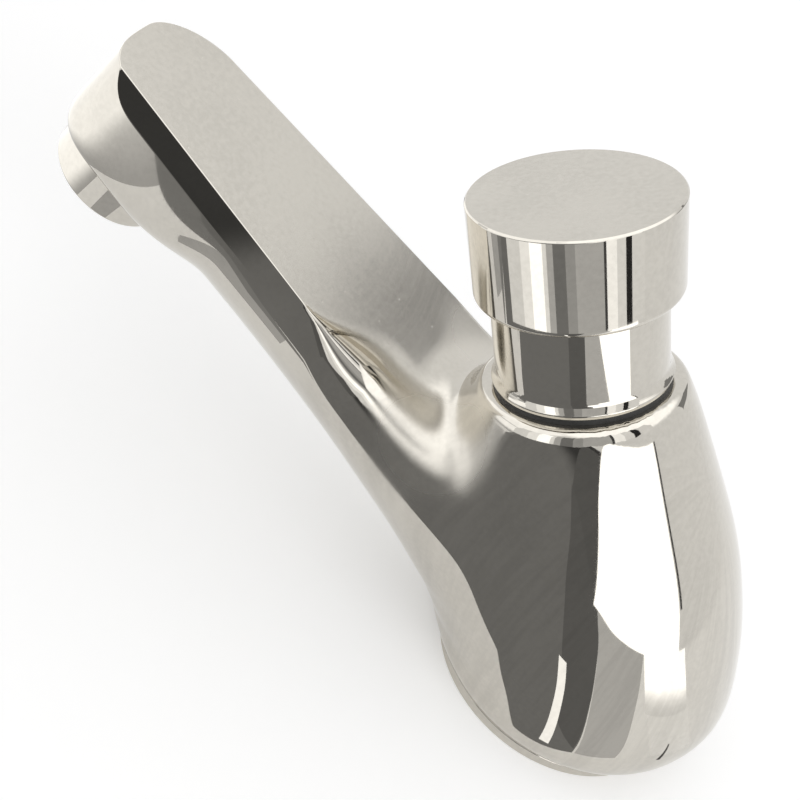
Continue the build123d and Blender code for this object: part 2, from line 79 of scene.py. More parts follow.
class Slot(Enum):
    """The record's material slots."""

    CASTING = "chrome_casting"
    TURNED = "chrome_turned"
    BRASS = "brass"
    ROD = "steel_rod"
    MESH = "steel_mesh"
    RUBBER = "black_rubber"
    PLASTIC = "grey_plastic"


def new_piece(name: str, data: bpy.types.ID) -> bpy.types.Object:
    """Puts a new object in the scene.

    Args:
        name: Its name.
        data: Its mesh, light or camera.

    Returns:
        The object.
    """
    piece = bpy.data.objects.new(name, data)
    bpy.context.scene.collection.objects.link(piece)
    return piece


def new_sheet(name: str, points: Array, faces: list[tuple[int, ...]]) -> bpy.types.Object:
    """Makes an object of plain faces.

    Args:
        name: Its name.
        points: Rows of x, y and z in metres.
        faces: Point numbers of each face.

    Returns:
        The object.
    """
    mesh = bpy.data.meshes.new(name)
    mesh.from_pydata(points.tolist(), [], faces)
    return new_piece(name, mesh)


def ease(value: Array) -> Array:
    """Smooth step from 0 to 1."""
    value = np.clip(value, 0.0, 1.0)
    return value * value * (3.0 - 2.0 * value)


def soft_min(first: Array, second: Array, width: float) -> Array:
    """The smaller of two values, with a smooth passage where they are within a width."""
    near = np.maximum(width - np.abs(first - second), 0.0) / width
    return np.minimum(first, second) - near**3 * width / 6.0


def soft_max(first: Array, second: Array, width: float) -> Array:
    """The larger of two values, with a smooth passage where they are within a width."""
    return -soft_min(-first, -second, width)


class NaturalCurve:
    """A natural cubic curve through evenly numbered rows of values."""

    def __init__(self, rows: Array) -> None:
        """Solves the curve.

        Args:
            rows: One row of values at each whole number.
        """
        self.rows = np.asarray(rows, float)
        count = len(self.rows)
        matrix = np.eye(count)
        right = np.zeros_like(self.rows)
        for i in range(1, count - 1):
            matrix[i, i - 1 : i + 2] = 1.0, 4.0, 1.0
            right[i] = 6.0 * (self.rows[i + 1] - 2.0 * self.rows[i] + self.rows[i - 1])
        self.bend = np.linalg.solve(matrix, right)
        self.last = count - 1.0

    def at(self, place: Array) -> Array:
        """Rows of values at places along the curve.

        Args:
            place: Numbers from 0 to the last row's number.

        Returns:
            An array with one more axis than place.
        """
        cell = np.clip(np.floor(place).astype(int), 0, int(self.last) - 1)
        after = (place - cell)[..., None]
        before = 1.0 - after
        line = before * self.rows[cell] + after * self.rows[cell + 1]
        curve = (before**3 - before) * self.bend[cell] + (after**3 - after) * self.bend[cell + 1]
        return line + curve / 6.0


@dataclass(frozen=True)
class Growth:
    """A value that grows smoothly from 0 to full over a span of the spout, towards the barrel."""

    full: float
    start: float
    span: float

    def at(self, distance: Array) -> Array:
        """The value at a distance behind the outlet's axis."""
        return self.full * ease((distance - self.start) / self.span)


@dataclass
class TapShape:
    """The casting's outer form, as distance-like functions that are below 0 inside.

    The push axis leans from the vertical by lean, and the flat top rises towards the tip by rise.
    """

    lean: float = math.radians(31.4)
    rise: float = math.radians(20.5)
    cap_top: tuple[float, float] = (51.8, 101.7)
    spout_top: tuple[float, float] = (123.9, 76.3)
    rim_depth: float = 38.4
    rim_radius: float = 19.6
    rim_round: float = 2.1
    junction_round: float = 20.0
    facet_depth: float = 4.6
    crease_half_width: float = 14.62
    crease_taper: float = 0.092
    crease_least: float = 8.0
    waist_start: float = 78.0
    waist_draw: float = 0.004
    tip_length: float = 15.2
    tip_power: float = 2.0
    near_tip_power: float = 1.35
    near_fade: float = 4.0
    near_round: Growth = Growth(20.0, 42.0, 22.0)
    far_round: Growth = Growth(4.0, 62.0, 26.0)
    far_lean: Growth = Growth(0.98, -2.0, 26.0)
    far_lean_least: float = 0.02
    keel_power: float = 8.0
    keel_softening: Growth = Growth(6.0, -8.0, 36.0)
    root_forward: float = 20.0
    root_round: float = 6.0
    # A level or leaning ring of the egg a row: its rear and its front point as forward and up,
    # and its half width.
    egg_rings: tuple = (
        (-28.6, 2.4, 28.6, 2.4, 28.6),
        (-32.6, 6.8, 29.6, 4.0, 30.2),
        (-34.2, 13.6, 30.4, 6.0, 31.0),
        (-32.6, 21.0, 31.0, 8.2, 31.4),
        (-28.0, 30.8, 32.2, 10.6, 31.5),
        (-22.5, 39.9, 33.8, 14.0, 31.2),
        (-14.6, 50.6, 36.8, 19.2, 30.0),
        (-5.2, 60.6, 41.3, 32.2, 27.2),
        (2.3, 68.0, 44.5, 42.3, 24.7),
        (7.9, 73.4, 46.7, 49.8, 22.7),
        (12.6, 77.5, 48.0, 56.0, 20.8),
    )
    # At distances behind the outlet's axis: the keel's depth under the flat top, and how far the
    # side facet leans out.
    spout_places: tuple = (-20.0, 0.0, 10.0, 22.0, 38.0, 52.0, 67.2, 83.2, 98.2, 110.2, 125.0)
    spout_depths: tuple = (22.6, 22.6, 24.2, 24.7, 25.0, 26.0, 27.5, 29.9, 32.6, 33.6, 33.6)
    spout_leans: tuple = (2.0, 2.0, 2.0, 2.0, 1.4, 0.7, 0.2, 0.0, 0.0, 0.0, 0.0)
    grid_forward_span: tuple[float, float] = (-60.0, 150.0)
    grid_up_span: tuple[float, float] = (-20.0, 130.0)
    grid_step: float = 0.5
    ring_overrun: float = 0.5
    ring_tries: int = 500
    ring_step: float = 0.05
    ring_probe: float = 0.001
    table_span: tuple[float, float] = (-30.0, 140.0)
    table_step: float = 0.5
    table_width: float = 8.0
    table_reach: int = 24
    normal_reach: float = 0.02

    def __post_init__(self) -> None:
        """Works out the axes, the egg's curve and its lookup grid."""
        self.push_up = np.array([math.sin(self.lean), math.cos(self.lean)])
        self.push_forward = np.array([math.cos(self.lean), -math.sin(self.lean)])
        self.spout_back = np.array([-math.cos(self.rise), -math.sin(self.rise)])
        self.spout_up = np.array([-math.sin(self.rise), math.cos(self.rise)])
        self.tip = np.array(self.spout_top)
        self.rim = np.array(self.cap_top) - self.push_up * self.rim_depth
        rear = self.rim - self.push_forward * self.rim_radius
        front = self.rim + self.push_forward * self.rim_radius
        rings = np.vstack([self.egg_rings, [*rear, *front, self.rim_radius]])
        self.egg_curve = NaturalCurve(rings)
        self.egg_last = self.egg_curve.last + self.ring_overrun
        self._make_grid()
        self._make_tables()

    def _make_grid(self) -> None:
        """Finds, on a grid of the plane of symmetry, which ring's plane each point lies in."""
        self.grid_forward = np.arange(*self.grid_forward_span, self.grid_step)
        self.grid_up = np.arange(*self.grid_up_span, self.grid_step)
        forward, up = np.meshgrid(self.grid_forward, self.grid_up, indexing="ij")
        places = np.linspace(-self.ring_overrun, self.egg_last, self.ring_tries)
        rings = self.egg_curve.at(places)
        found = np.full(forward.shape, places[-1])
        before = self._side_of(rings[0], forward, up)
        done = before < 0
        found[done] = places[0]
        for k in range(1, len(places)):
            now = self._side_of(rings[k], forward, up)
            hit = ~done & (before >= 0) & (now < 0)
            share = before / np.where(before == now, 1.0, before - now)
            found[hit] = (places[k - 1] + share * (places[k] - places[k - 1]))[hit]
            done |= hit
            before = now
        self.grid = found

    def _make_tables(self) -> None:
        """Smooths the spout's tables of keel depth and facet lean."""
        places = np.arange(*self.table_span, self.table_step)
        reach = np.arange(-self.table_reach, self.table_reach + 1)
        weights = np.exp(-0.5 * (reach / self.table_width) ** 2)
        weights /= weights.sum()
        tables = []
        for values in (self.spout_depths, self.spout_leans):
            plain = np.pad(np.interp(places, self.spout_places, values), self.table_reach, mode="edge")
            tables.append(np.convolve(plain, weights, mode="valid"))
        self.depth_table, self.lean_table = tables

    @staticmethod
    def _side_of(ring: Array, forward: Array, up: Array) -> Array:
        """Above 0 before a ring's plane, below 0 behind it."""
        across = (ring[..., 2] - ring[..., 0]) * (up - ring[..., 1])
        return across - (ring[..., 3] - ring[..., 1]) * (forward - ring[..., 0])

    def _cell(self, values: Array, line: Array) -> Array:
        """Places of values on one side of the lookup grid, counted in its steps."""
        return np.clip((values - line[0]) / self.grid_step, 0, len(line) - LAST_CELL)

    def _ring_place(self, forward: Array, up: Array) -> Array:
        """Finds the ring whose plane holds each point: by the lookup grid, then by two steps.

        Args:
            forward: Forward coordinates.
            up: Up coordinates.

        Returns:
            Places on the egg's curve.
        """
        along, above = self._cell(forward, self.grid_forward), self._cell(up, self.grid_up)
        i, j = along.astype(int), above.astype(int)
        along, above = along - i, above - j
        low = self.grid[i, j] * (1 - along) + self.grid[i + 1, j] * along
        high = self.grid[i, j + 1] * (1 - along) + self.grid[i + 1, j + 1] * along
        place = low * (1 - above) + high * above
        for _ in range(2):
            here = self._side_of(self.egg_curve.at(place), forward, up)
            ahead = self._side_of(self.egg_curve.at(place + self.ring_probe), forward, up)
            slope = (ahead - here) / self.ring_probe
            slope = np.where(np.abs(slope) < TINY, 1.0, slope)
            place = place - np.clip(here / slope, -self.ring_step, self.ring_step)
            place = np.clip(place, self.ring_step - self.ring_overrun, self.egg_last - self.ring_step)
        return place

    def _lookup(self, table: Array, distance: Array) -> Array:
        """Reads a table smoothly between its entries.

        Args:
            table: One of the spout's two tables.
            distance: Distances behind the outlet's axis.

        Returns:
            One value a distance.
        """
        cell = (distance - self.table_span[0]) / self.table_step
        cell = np.clip(cell, 1, len(table) - 2 - LAST_CELL)
        number = cell.astype(int)
        share = cell - number
        before, here, after, beyond = (table[number + step] for step in (-1, 0, 1, 2))
        cubic = 3 * (here - after) + beyond - before
        square = 2 * before - 5 * here + 4 * after - beyond
        return here + 0.5 * share * (after - before + share * (square + share * cubic))

    def egg(self, forward: Array, up: Array, side: Array) -> Array:
        """Outside distance from the egg-shaped barrel with its flat mouth.

        Args:
            forward: Forward coordinates.
            up: Up coordinates.
            side: Side coordinates.

        Returns:
            One value a point, below 0 inside.
        """
        ring = self.egg_curve.at(self._ring_place(forward, up))
        half_forward = (ring[..., 2] - ring[..., 0]) / 2
        half_up = (ring[..., 3] - ring[..., 1]) / 2
        half = np.hypot(half_forward, half_up)
        ahead, above = forward - ring[..., 0] - half_forward, up - ring[..., 1] - half_up
        along = (ahead * half_forward + above * half_up) / half
        ratio = np.sqrt((along / half) ** 2 + (side / ring[..., 4]) ** 2)
        slope = np.sqrt(along**2 / half**4 + side**2 / ring[..., 4] ** 4)
        wall = (ratio - 1) * ratio / np.maximum(slope, LEAST_SLOPE)
        mouth = (forward - self.rim[0]) * self.push_up[0] + (up - self.rim[1]) * self.push_up[1]
        return soft_max(wall, mouth, self.rim_round)

    def crease(self, distance: Array) -> Array:
        """Half width of the flat top.

        Args:
            distance: Distances behind the outlet's axis.

        Returns:
            One half width a distance.
        """
        waist = np.maximum(distance - self.waist_start, 0.0) ** 2
        half = self.crease_half_width + self.crease_taper * distance - self.waist_draw * waist
        return np.maximum(half, self.crease_least)

    def spout_place(self, forward: Array, up: Array) -> tuple[Array, Array]:
        """Place of points along the spout.

        Args:
            forward: Forward coordinates.
            up: Up coordinates.

        Returns:
            Distances behind the outlet's axis, and depths under the flat top.
        """
        ahead, above = forward - self.tip[0], up - self.tip[1]
        distance = ahead * self.spout_back[0] + above * self.spout_back[1]
        depth = -(ahead * self.spout_up[0] + above * self.spout_up[1])
        return distance, depth

    def near_share(self, side: Array) -> Array:
        """1 on the +X side, 0 on the other: the two sides were ground a little differently."""
        return 0.5 + 0.5 * np.tanh(side / self.near_fade)

    def facet_lean(self, distance: Array, side: Array) -> Array:
        """How far the side facet leans out over its depth.

        Args:
            distance: Distances behind the outlet's axis.
            side: Side coordinates.

        Returns:
            One length a point.
        """
        near = self.near_share(side)
        far = self.far_lean_least + self.far_lean.at(distance)
        return self._lookup(self.lean_table, distance) * (near + (1 - near) * far)

    def plan(self, distance: Array, side: Array) -> tuple[Array, Array]:
        """The spout's outline seen from above.

        Args:
            distance: Distances behind the outlet's axis.
            side: Side coordinates.

        Returns:
            Outside distances from the outline, and ratios to it.
        """
        power = self.tip_power + self.near_tip_power * self.near_share(side)
        half = self.crease(distance) + self.facet_lean(distance, side)
        ahead = np.maximum(-distance, 0.0) / self.tip_length
        ratio = ((np.abs(side) / half) ** power + ahead**power) ** (1 / power)
        return (ratio - 1) * np.where(distance > 0, half, (self.tip_length + half) / 2), ratio

    def spout(self, forward: Array, up: Array, side: Array) -> Array:
        """Outside distance from the spout, with its flat top and side facets.

        Args:
            forward: Forward coordinates.
            up: Up coordinates.
            side: Side coordinates.

        Returns:
            One value a point, below 0 inside.
        """
        distance, depth = self.spout_place(forward, up)
        _, ratio = self.plan(distance, side)
        lean = self.facet_lean(distance, side)
        half = self.crease(distance) + lean
        keel = self._lookup(self.depth_table, distance) - self.facet_depth
        ratio = np.maximum(ratio, TINY)
        down = np.maximum(depth - self.facet_depth, 0.0) / keel
        power = self.keel_power - self.keel_softening.at(distance)
        full = (ratio**power + down**power) ** (1 / power)
        slope = np.hypot((ratio / full) ** (power - 1) / half, (down / full) ** (power - 1) / keel)
        wall = (full - 1) / np.maximum(slope, TINY)
        facet = np.abs(side) - self.crease(distance) - lean * depth / self.facet_depth
        facet = facet / np.hypot(1.0, lean / self.facet_depth)
        near = self.near_share(side)
        rounding = near * self.near_round.at(distance) + (1 - near) * self.far_round.at(distance)
        shape = soft_max(np.maximum(wall, facet), -depth, np.maximum(rounding, LEAST_LENGTH))
        return soft_max(shape, self.root_forward - forward, self.root_round)

    def outside(self, points: Array) -> Array:
        """Outside distance of rows of points from the whole casting, its junction smoothed."""
        places = points[:, 0], points[:, 1], points[:, 2]
        return soft_min(self.egg(*places), self.spout(*places), self.junction_round)

    def normals(self, points: Array) -> Array:
        """Unit normals of the form.

        Args:
            points: Rows of forward, up and side, on the form.

        Returns:
            One normal a row.
        """
        slopes = []
        for step in np.eye(3) * self.normal_reach:
            slopes.append(self.outside(points + step) - self.outside(points - step))
        rows = np.stack(slopes, 1)
        return rows / np.maximum(np.linalg.norm(rows, axis=1), 1e-12)[:, None]


def band(count: int) -> Array:
    """Faces between two rings of points, where the second ring's numbers follow the first's.

    Args:
        count: Points of a ring.

    Returns:
        Rows of four point numbers.
    """
    ring = np.arange(count)
    turned = np.roll(ring, -1)
    return np.column_stack([ring, turned, turned + count, ring + count])


class PatchMesh:
    """Faces gathered from patches, each with its own smooth normals, over shared corners."""

    # Corners closer than this, in millimetres, are one point.
    weld = 0.0002

    def __init__(self) -> None:
        """Starts with no patches."""
        self.points: list[Array] = []
        self.normals: list[Array] = []
        self.faces: list[tuple[int, ...]] = []
        self.count = 0

    def add(self, points: Array, normals: Array, faces: Array) -> None:
        """Adds a patch.

        Args:
            points: Rows of forward, up and side, in millimetres.
            normals: One unit normal a point.
            faces: Rows of point numbers within the patch.
        """
        normals = np.nan_to_num(normals)
        first = np.array([face[:3] for face in faces])
        a, b, c = (points[first[:, k]] for k in range(3))
        facing = (np.cross(b - a, c - b) * normals[first[:, 0]]).sum()
        turn = -1 if facing > 0 else 1
        self.points.append(points)
        self.normals.append(normals)
        self.faces.extend(tuple(int(i) + self.count for i in face[::turn]) for face in faces)
        self.count += len(points)

    def build(self, name: str) -> bpy.types.Object:
        """Joins the patches where they meet and makes the object.

        Args:
            name: Name of the piece.

        Returns:
            The new object, in metres in the shared frame.
        """
        points = np.concatenate(self.points)
        normals = np.concatenate(self.normals)
        keys = np.round(points / self.weld).astype(np.int64)
        _, first, same = np.unique(keys, axis=0, return_index=True, return_inverse=True)
        same = same.ravel()
        where = points[first]
        places = np.column_stack([where[:, 2], -where[:, 0], where[:, 1]]) * MM
        turned = np.column_stack([normals[:, 2], -normals[:, 0], normals[:, 1]])
        faces, loops = [], []
        for face in self.faces:
            kept = [i for k, i in enumerate(face) if same[i] != same[face[k - 1]]]
            if len(kept) > 2 and len({int(same[i]) for i in kept}) == len(kept):
                faces.append([int(same[i]) for i in kept])
                loops.extend(turned[kept])
        mesh = bpy.data.meshes.new(name)
        mesh.from_pydata(places.tolist(), [], faces)
        mesh.polygons.foreach_set("use_smooth", [True] * len(mesh.polygons))
        mesh.update()
        mesh.normals_split_custom_set([tuple(n) for n in loops])
        LOG.info("%s: %d points, %d faces", name, len(places), len(faces))
        return new_piece(name, mesh)


@dataclass
class Bore:
    """A round hole round an axis in the plane of symmetry, sunk from an edge of the casting."""

    origin: tuple[float, float]
    inward: tuple[float, float]
    profile: tuple[tuple[float, float], ...]

    def frame(self) -> tuple[Array, Array, Array]:
        """Works out the hole's directions.

        Returns:
            The axis, and the two directions across it.
        """
        inward = np.array([*self.inward, 0.0])
        across = np.array([-self.inward[1], self.inward[0], 0.0])
        return inward, across, np.array([0.0, 0.0, 1.0])

    def polar(self, points: Array) -> tuple[Array, Array, Array]:
        """Places points round the axis.

        Args:
            points: Rows of forward, up and side.

        Returns:
            Their radii, angles and depths.
        """
        inward, across, side = self.frame()
        away = points - np.array([*self.origin, 0.0])
        a, b = away @ across, away @ side
        return np.hypot(a, b), np.arctan2(b, a), away @ inward

    def line(self, mesh: PatchMesh, edge: Array) -> None:
        """Adds the walls and floors of the bore to a mesh.

        Args:
            mesh: The casting's mesh.
            edge: The points of the hole's edge, in order of their angles.
        """
        inward, across, side = self.frame()
        _, angles, _ = self.polar(edge)
        spokes = np.outer(np.cos(angles), across) + np.outer(np.sin(angles), side)
        before = edge
        start_radius, _, start_depth = (float(np.mean(v)) for v in self.polar(edge))
        for radius, depth in self.profile:
            after = np.array([*self.origin, 0.0]) + inward * depth + spokes * radius
            run = np.array([radius - start_radius, depth - start_depth])
            run = run / np.linalg.norm(run)
            normal = -spokes * run[1] + inward * run[0]
            corners = np.concatenate([before, after])
            mesh.add(corners, np.concatenate([normal, normal]), band(len(edge)))
            before, start_radius, start_depth = after, radius, depth


@dataclass
class CastingMesh:
    """Mesh of the casting, cast by rays from a spine that runs up the egg and along the spout."""

    shape: TapShape
    stations: int = 230
    fan_rows: int = 72
    top_columns: int = 26
    facet_columns: int = 7
    flank_columns: int = 46
    edge: float = 0.12
    spine_share: float = 0.46
    even_span: tuple[int, int] = (96, 142)
    reach: float = 75.0
    ray_steps: int = 26
    ray_halvings: int = 22
    tip_reach: float = 30.0
    tip_halvings: int = 30
    row_samples: int = 2000
    row_low_weight: float = 0.6
    keel_drop: float = 26.0
    keel_lag: float = 4.0
    lag_start: float = 48.0
    lag_span: float = 24.0
    crease_end: float = 88.0
    foot_side: float = 20.0
    fade_stations: float = 50.0
    barrel_crease: float = 0.95
    barrel_foot: float = 1.15
    level_start: float = 0.8
    level_span: float = 0.5
    steepest: float = 1.4
    least_slope: float = 0.3
    settle_steps: int = 6
    settle_probe: float = 0.05
    settle_limit: float = 1.5
    settle_slopes: tuple[float, float] = (0.3, 3.0)
    mouth_cut: tuple[float, float] = (15.6, 3.0)
    outlet_cut: tuple[float, float] = (13.5, 4.0)
    # The planes of the first stations, up the egg and over to the spout: top and bottom point as
    # forward and up. The spout's own planes follow at distances behind the outlet's axis.
    planes: tuple = (
        (-28.6, 2.4, 28.6, 2.4),
        (-34.0, 11.0, 30.0, 3.6),
        (-33.2, 20.0, 31.0, 5.2),
        (-28.5, 31.0, 31.6, 7.2),
        (-19.0, 45.0, 32.6, 9.6),
        (-7.0, 59.5, 34.4, 12.4),
        (6.0, 72.0, 37.6, 15.0),
        (19.0, 80.0, 42.0, 17.4),
        (34.0, 72.0, 48.0, 20.0),
        (46.0, 60.5, 55.0, 22.6),
    )
    spout_planes: tuple = (72.0, 60.0, 48.0, 36.0, 24.0, 12.0, 0.0)
    # The bores' profiles: radius, and place along the axis from the rim, the spout's top or the
    # plane that the tap stands on.
    mouth_profile: tuple = (
        (15.6, 11.1),
        (12.6, 11.1),
        (12.6, 53.6),
        (9.4, 53.6),
        (9.4, 58.8),
        (6.0, 58.8),
        (6.0, 61.4),
        (0.0, 61.4),
    )
    outlet_profile: tuple = (
        (13.5, -22.0),
        (12.0, -22.0),
        (12.0, -12.9),
        (8.5, -12.9),
        (8.5, -5.5),
        (0.0, -5.5),
    )
    foot_profile: tuple = (
        (23.4, 2.4),
        (23.4, 9.0),
        (16.4, 9.0),
        (16.4, 2.4),
        (13.0, 2.4),
        (13.0, 11.0),
        (8.6, 11.0),
        (8.6, 12.4),
        (0.0, 12.4),
    )
    mouth: Bore = field(init=False)
    outlet: Bore = field(init=False)
    foot: Bore = field(init=False)

    def __post_init__(self) -> None:
        """Places the bores."""
        shape = self.shape
        rim = tuple(shape.rim)
        self.mouth = Bore(rim, tuple(-shape.push_up), self.mouth_profile)
        self.outlet = Bore(shape.spout_top, tuple(shape.spout_up), self.outlet_profile)
        self.foot = Bore((0.0, 0.0), (0.0, 1.0), self.foot_profile)

    def _station_rows(self) -> Array:
        """Spaces the stations' planes evenly.

        Returns:
            Rows of a plane's top and bottom points.
        """
        rows = [list(row) for row in self.planes]
        shape = self.shape
        for distance in self.spout_planes:
            top = shape.tip + distance * shape.spout_back
            lag = self.keel_lag * min(1.0, max(0.0, (distance - self.lag_start) / self.lag_span))
            bottom = top - self.keel_drop * shape.spout_up + lag * shape.spout_back
            rows.append([*top, *bottom])
        curve = NaturalCurve(np.array(rows))
        places = np.linspace(0, curve.last, self.row_samples)
        moves = np.diff(curve.at(places), axis=0)
        steps = np.hypot(*moves[:, :2].T) + self.row_low_weight * np.hypot(*moves[:, 2:].T)
        run = np.concatenate([[0.0], np.cumsum(steps)])
        return curve.at(np.interp(np.linspace(0, run[-1], self.stations), run, places))

    def _columns(self, crease_angle: float, foot_angle: float, *reaches: float) -> Array:
        """Spreads the columns of a station, with close pairs at the crease and the facet's foot.

        Args:
            crease_angle: Angle of the flat top's edge.
            foot_angle: Angle of the facet's foot.
            reaches: Distances of both from the spine.

        Returns:
            Angles from the top to the bottom.
        """
        near, low = (self.edge / reach for reach in reaches)
        foot_angle = max(foot_angle, crease_angle + 3 * near)
        share = np.linspace(0, 1, self.top_columns + 1)[:-1]
        level = float(ease(np.array((crease_angle - self.level_start) / self.level_span)))
        straight = np.arctan(share * math.tan(min(crease_angle, self.steepest)))
        flat = straight * (1 - level) + share * crease_angle * level
        facet = np.linspace(crease_angle + near, foot_angle - low, self.facet_columns)
        start = foot_angle + low
        flank = start + (math.pi - start) * np.linspace(0, 1, self.flank_columns + 1)
        return np.concatenate([flat, [crease_angle - near], facet, flank])

    def _crossing(self, centre: Array, upward: Array, depth: float) -> tuple[float, float]:
        """Finds where a station's plane meets a line at a depth under the flat top.

        Args:
            centre: The station's point of the spine.
            upward: Direction from the spine to the plane's top point.
            depth: Depth of the line.

        Returns:
            The distance behind the outlet's axis, and the height over the centre in the plane.
        """
        shape = self.shape
        across = np.array([-upward[1], upward[0]])
        start = shape.tip - depth * shape.spout_up
        slope = float(shape.spout_back @ across)
        if abs(slope) < self.least_slope:
            return math.inf, 0.0
        distance = float((centre - start) @ across) / slope
        return distance, float((start + distance * shape.spout_back - centre) @ upward)

    def _spine(self, row: Array) -> tuple[Array, Array]:
        """A station's centre on the spine, and the direction from it to the top point."""
        top, bottom = row[:2], row[2:]
        return top + self.spine_share * (bottom - top), (top - bottom) / np.linalg.norm(top - bottom)

    def _station_columns(self, rows: Array) -> list[Array]:
        """Spreads the columns of every station.

        Args:
            rows: The stations' planes.

        Returns:
            The angles of each station's columns.
        """
        shape = self.shape
        found: list[tuple[float, float, float, float] | None] = []
        for row in rows:
            centre, upward = self._spine(row)
            distance, height = self._crossing(centre, upward, 0.0)
            if distance < self.crease_end:
                half = float(shape.crease(np.array(distance)))
                low, low_height = self._crossing(centre, upward, shape.facet_depth)
                low, side = np.array(low), np.array(self.foot_side)
                wide = float(shape.crease(low) + shape.facet_lean(low, side))
                angles = math.atan2(half, height), math.atan2(wide, low_height)
                found.append((*angles, math.hypot(half, height), math.hypot(wide, low_height)))
            else:
                found.append(None)
        first = next(i for i, item in enumerate(found) if item is not None)
        crease_angle, foot_angle, crease_reach, foot_reach = found[first]
        for i in range(first):
            share = float(ease(np.array((first - i) / self.fade_stations)))
            crease = crease_angle + share * (self.barrel_crease - crease_angle)
            low = foot_angle + share * (self.barrel_foot - foot_angle)
            found[i] = (crease, low, crease_reach, foot_reach)
        return [self._columns(*item) for item in found]

    def _cast(self, centres: Array, rays: Array) -> Array:
        """Finds the form's outermost points along rays.

        Args:
            centres: Where the rays start.
            rays: Their directions.

        Returns:
            One point a ray.
        """
        reaches = np.linspace(0, self.reach, self.ray_steps)
        inside = np.stack([self.shape.outside(centres + rays * r) < 0 for r in reaches])
        last = np.clip(len(reaches) - 1 - np.argmax(inside[::-1], axis=0), 0, len(reaches) - 2)
        low, high = reaches[last], reaches[last + 1]
        for _ in range(self.ray_halvings):
            middle = (low + high) / 2
            within = self.shape.outside(centres + rays * middle[:, None]) < 0
            low, high = np.where(within, middle, low), np.where(within, high, middle)
        return centres + rays * ((low + high) / 2)[:, None]

    def _main_grid(self, rows: Array) -> Array:
        """Casts all stations, right side down and left side up.

        Args:
            rows: The stations' planes.

        Returns:
            Points, by station and column.
        """
        centres, rays = [], []
        for row, half in zip(rows, self._station_columns(rows)):
            centre, upward = self._spine(row)
            angles = np.concatenate([half, -half[::-1][1:-1]])
            centres.append(np.tile([*centre, 0.0], (len(angles), 1)))
            rays.append(np.column_stack([np.outer(np.cos(angles), upward), np.sin(angles)]))
        points = self._cast(np.concatenate(centres), np.concatenate(rays))
        return points.reshape(len(rows), -1, 3)

    def _settle(self, points: Array) -> Array:
        """Moves points along the form's gradient until they lie on it.

        Args:
            points: Points near the form.

        Returns:
            The moved points.
        """
        for _ in range(self.settle_steps):
            normals = self.shape.normals(points)
            near = self.shape.outside(points)
            ahead = self.shape.outside(points + normals * self.settle_probe)
            slope = np.clip((ahead - near) / self.settle_probe, *self.settle_slopes)
            step = np.clip(near / slope, -self.settle_limit, self.settle_limit)
            points = points - normals * step[:, None]
        return points

    def _even_out(self, main: Array) -> Array:
        """Spreads the stations evenly down each column where the mouth's rim drops to the spout.

        Args:
            main: Stations by columns of points.

        Returns:
            The same grid, its points still on the form.
        """
        first, last = self.even_span
        part = main[first : last + 1]
        steps = np.linalg.norm(np.diff(part, axis=0), axis=2)
        moved = part.copy()
        for column in range(part.shape[1]):
            run = np.concatenate([[0.0], np.cumsum(steps[:, column])])
            places = np.linspace(0, run[-1], len(run))
            for axis in range(3):
                moved[:, column, axis] = np.interp(places, run, part[:, column, axis])
        inner = self._settle(moved[1:-1].reshape(-1, 3))
        main[first + 1 : last] = inner.reshape(moved[1:-1].shape)
        return main

    def _fan_grid(self, row: Array) -> Array:
        """Casts the half planes that turn round the outlet's axis at the spout's end.

        Args:
            row: The last station's plane.

        Returns:
            Points, by half plane and column.
        """
        shape = self.shape
        centre, _ = self._spine(row)
        height = float(np.linalg.norm(centre - shape.tip))
        centres, rays = [], []
        for turn in np.linspace(math.pi / 2, -math.pi / 2, self.fan_rows + 1)[1:-1]:
            outward, ahead = abs(math.sin(turn)), math.cos(turn)
            sign = 1.0 if turn > 0 else -1.0
            low, high = 0.0, self.tip_reach
            for _ in range(self.tip_halvings):
                reach = (low + high) / 2
                gap = shape.plan(np.array(-reach * ahead), np.array(sign * reach * outward))[0]
                low, high = (reach, high) if gap < 0 else (low, reach)
            straight = shape.crease_half_width / (outward + shape.crease_taper * ahead)
            top = min(low, straight)
            drop = 0.0
            if low > straight:
                place = np.array(-low * ahead)
                lean = float(shape.facet_lean(place, np.array(sign * low * outward)))
                past = low * outward - float(shape.crease(place))
                drop = min(shape.facet_depth * past / max(lean, LEAST_LENGTH), shape.facet_depth)
            angles = math.atan2(top, height), math.atan2(low, height - drop)
            half = self._columns(*angles, math.hypot(top, height), math.hypot(low, height - drop))
            flat = np.outer(np.cos(half), shape.spout_up) - np.outer(np.sin(half) * ahead, shape.spout_back)
            centres.append(np.tile([*centre, 0.0], (len(half), 1)))
            rays.append(np.column_stack([flat, np.sin(half) * math.sin(turn)]))
        points = self._cast(np.concatenate(centres), np.concatenate(rays))
        return points.reshape(self.fan_rows - 1, -1, 3)

    def _faces(self, main: Array, fan: Array) -> tuple[Array, Array]:
        """Joins both grids.

        Args:
            main: Points of the stations.
            fan: Points of the half planes at the spout's end.

        Returns:
            All points, and rows of four point numbers.
        """
        stations, around = main.shape[:2]
        rows, columns = fan.shape[:2]
        faces = []
        for i in range(stations - 1):
            a, b = i * around + np.arange(around), (i + 1) * around + np.arange(around)
            faces.append(np.column_stack([a, np.roll(a, -1), np.roll(b, -1), b]))
        last, base = (stations - 1) * around, stations * around
        right = last + np.arange(columns)
        left = last + np.concatenate([[0], np.arange(around - 1, columns - 1, -1), [columns - 1]])
        lines = [right]
        for k in range(rows):
            line = base + k * columns + np.arange(columns)
            line[0], line[-1] = right[0], right[-1]
            lines.append(line)
        lines.append(left)
        for a, b in zip(lines[:-1], lines[1:]):
            faces.append(np.column_stack([a[:-1], a[1:], b[1:], b[:-1]]))
        return np.concatenate([main.reshape(-1, 3), fan.reshape(-1, 3)]), np.concatenate(faces)

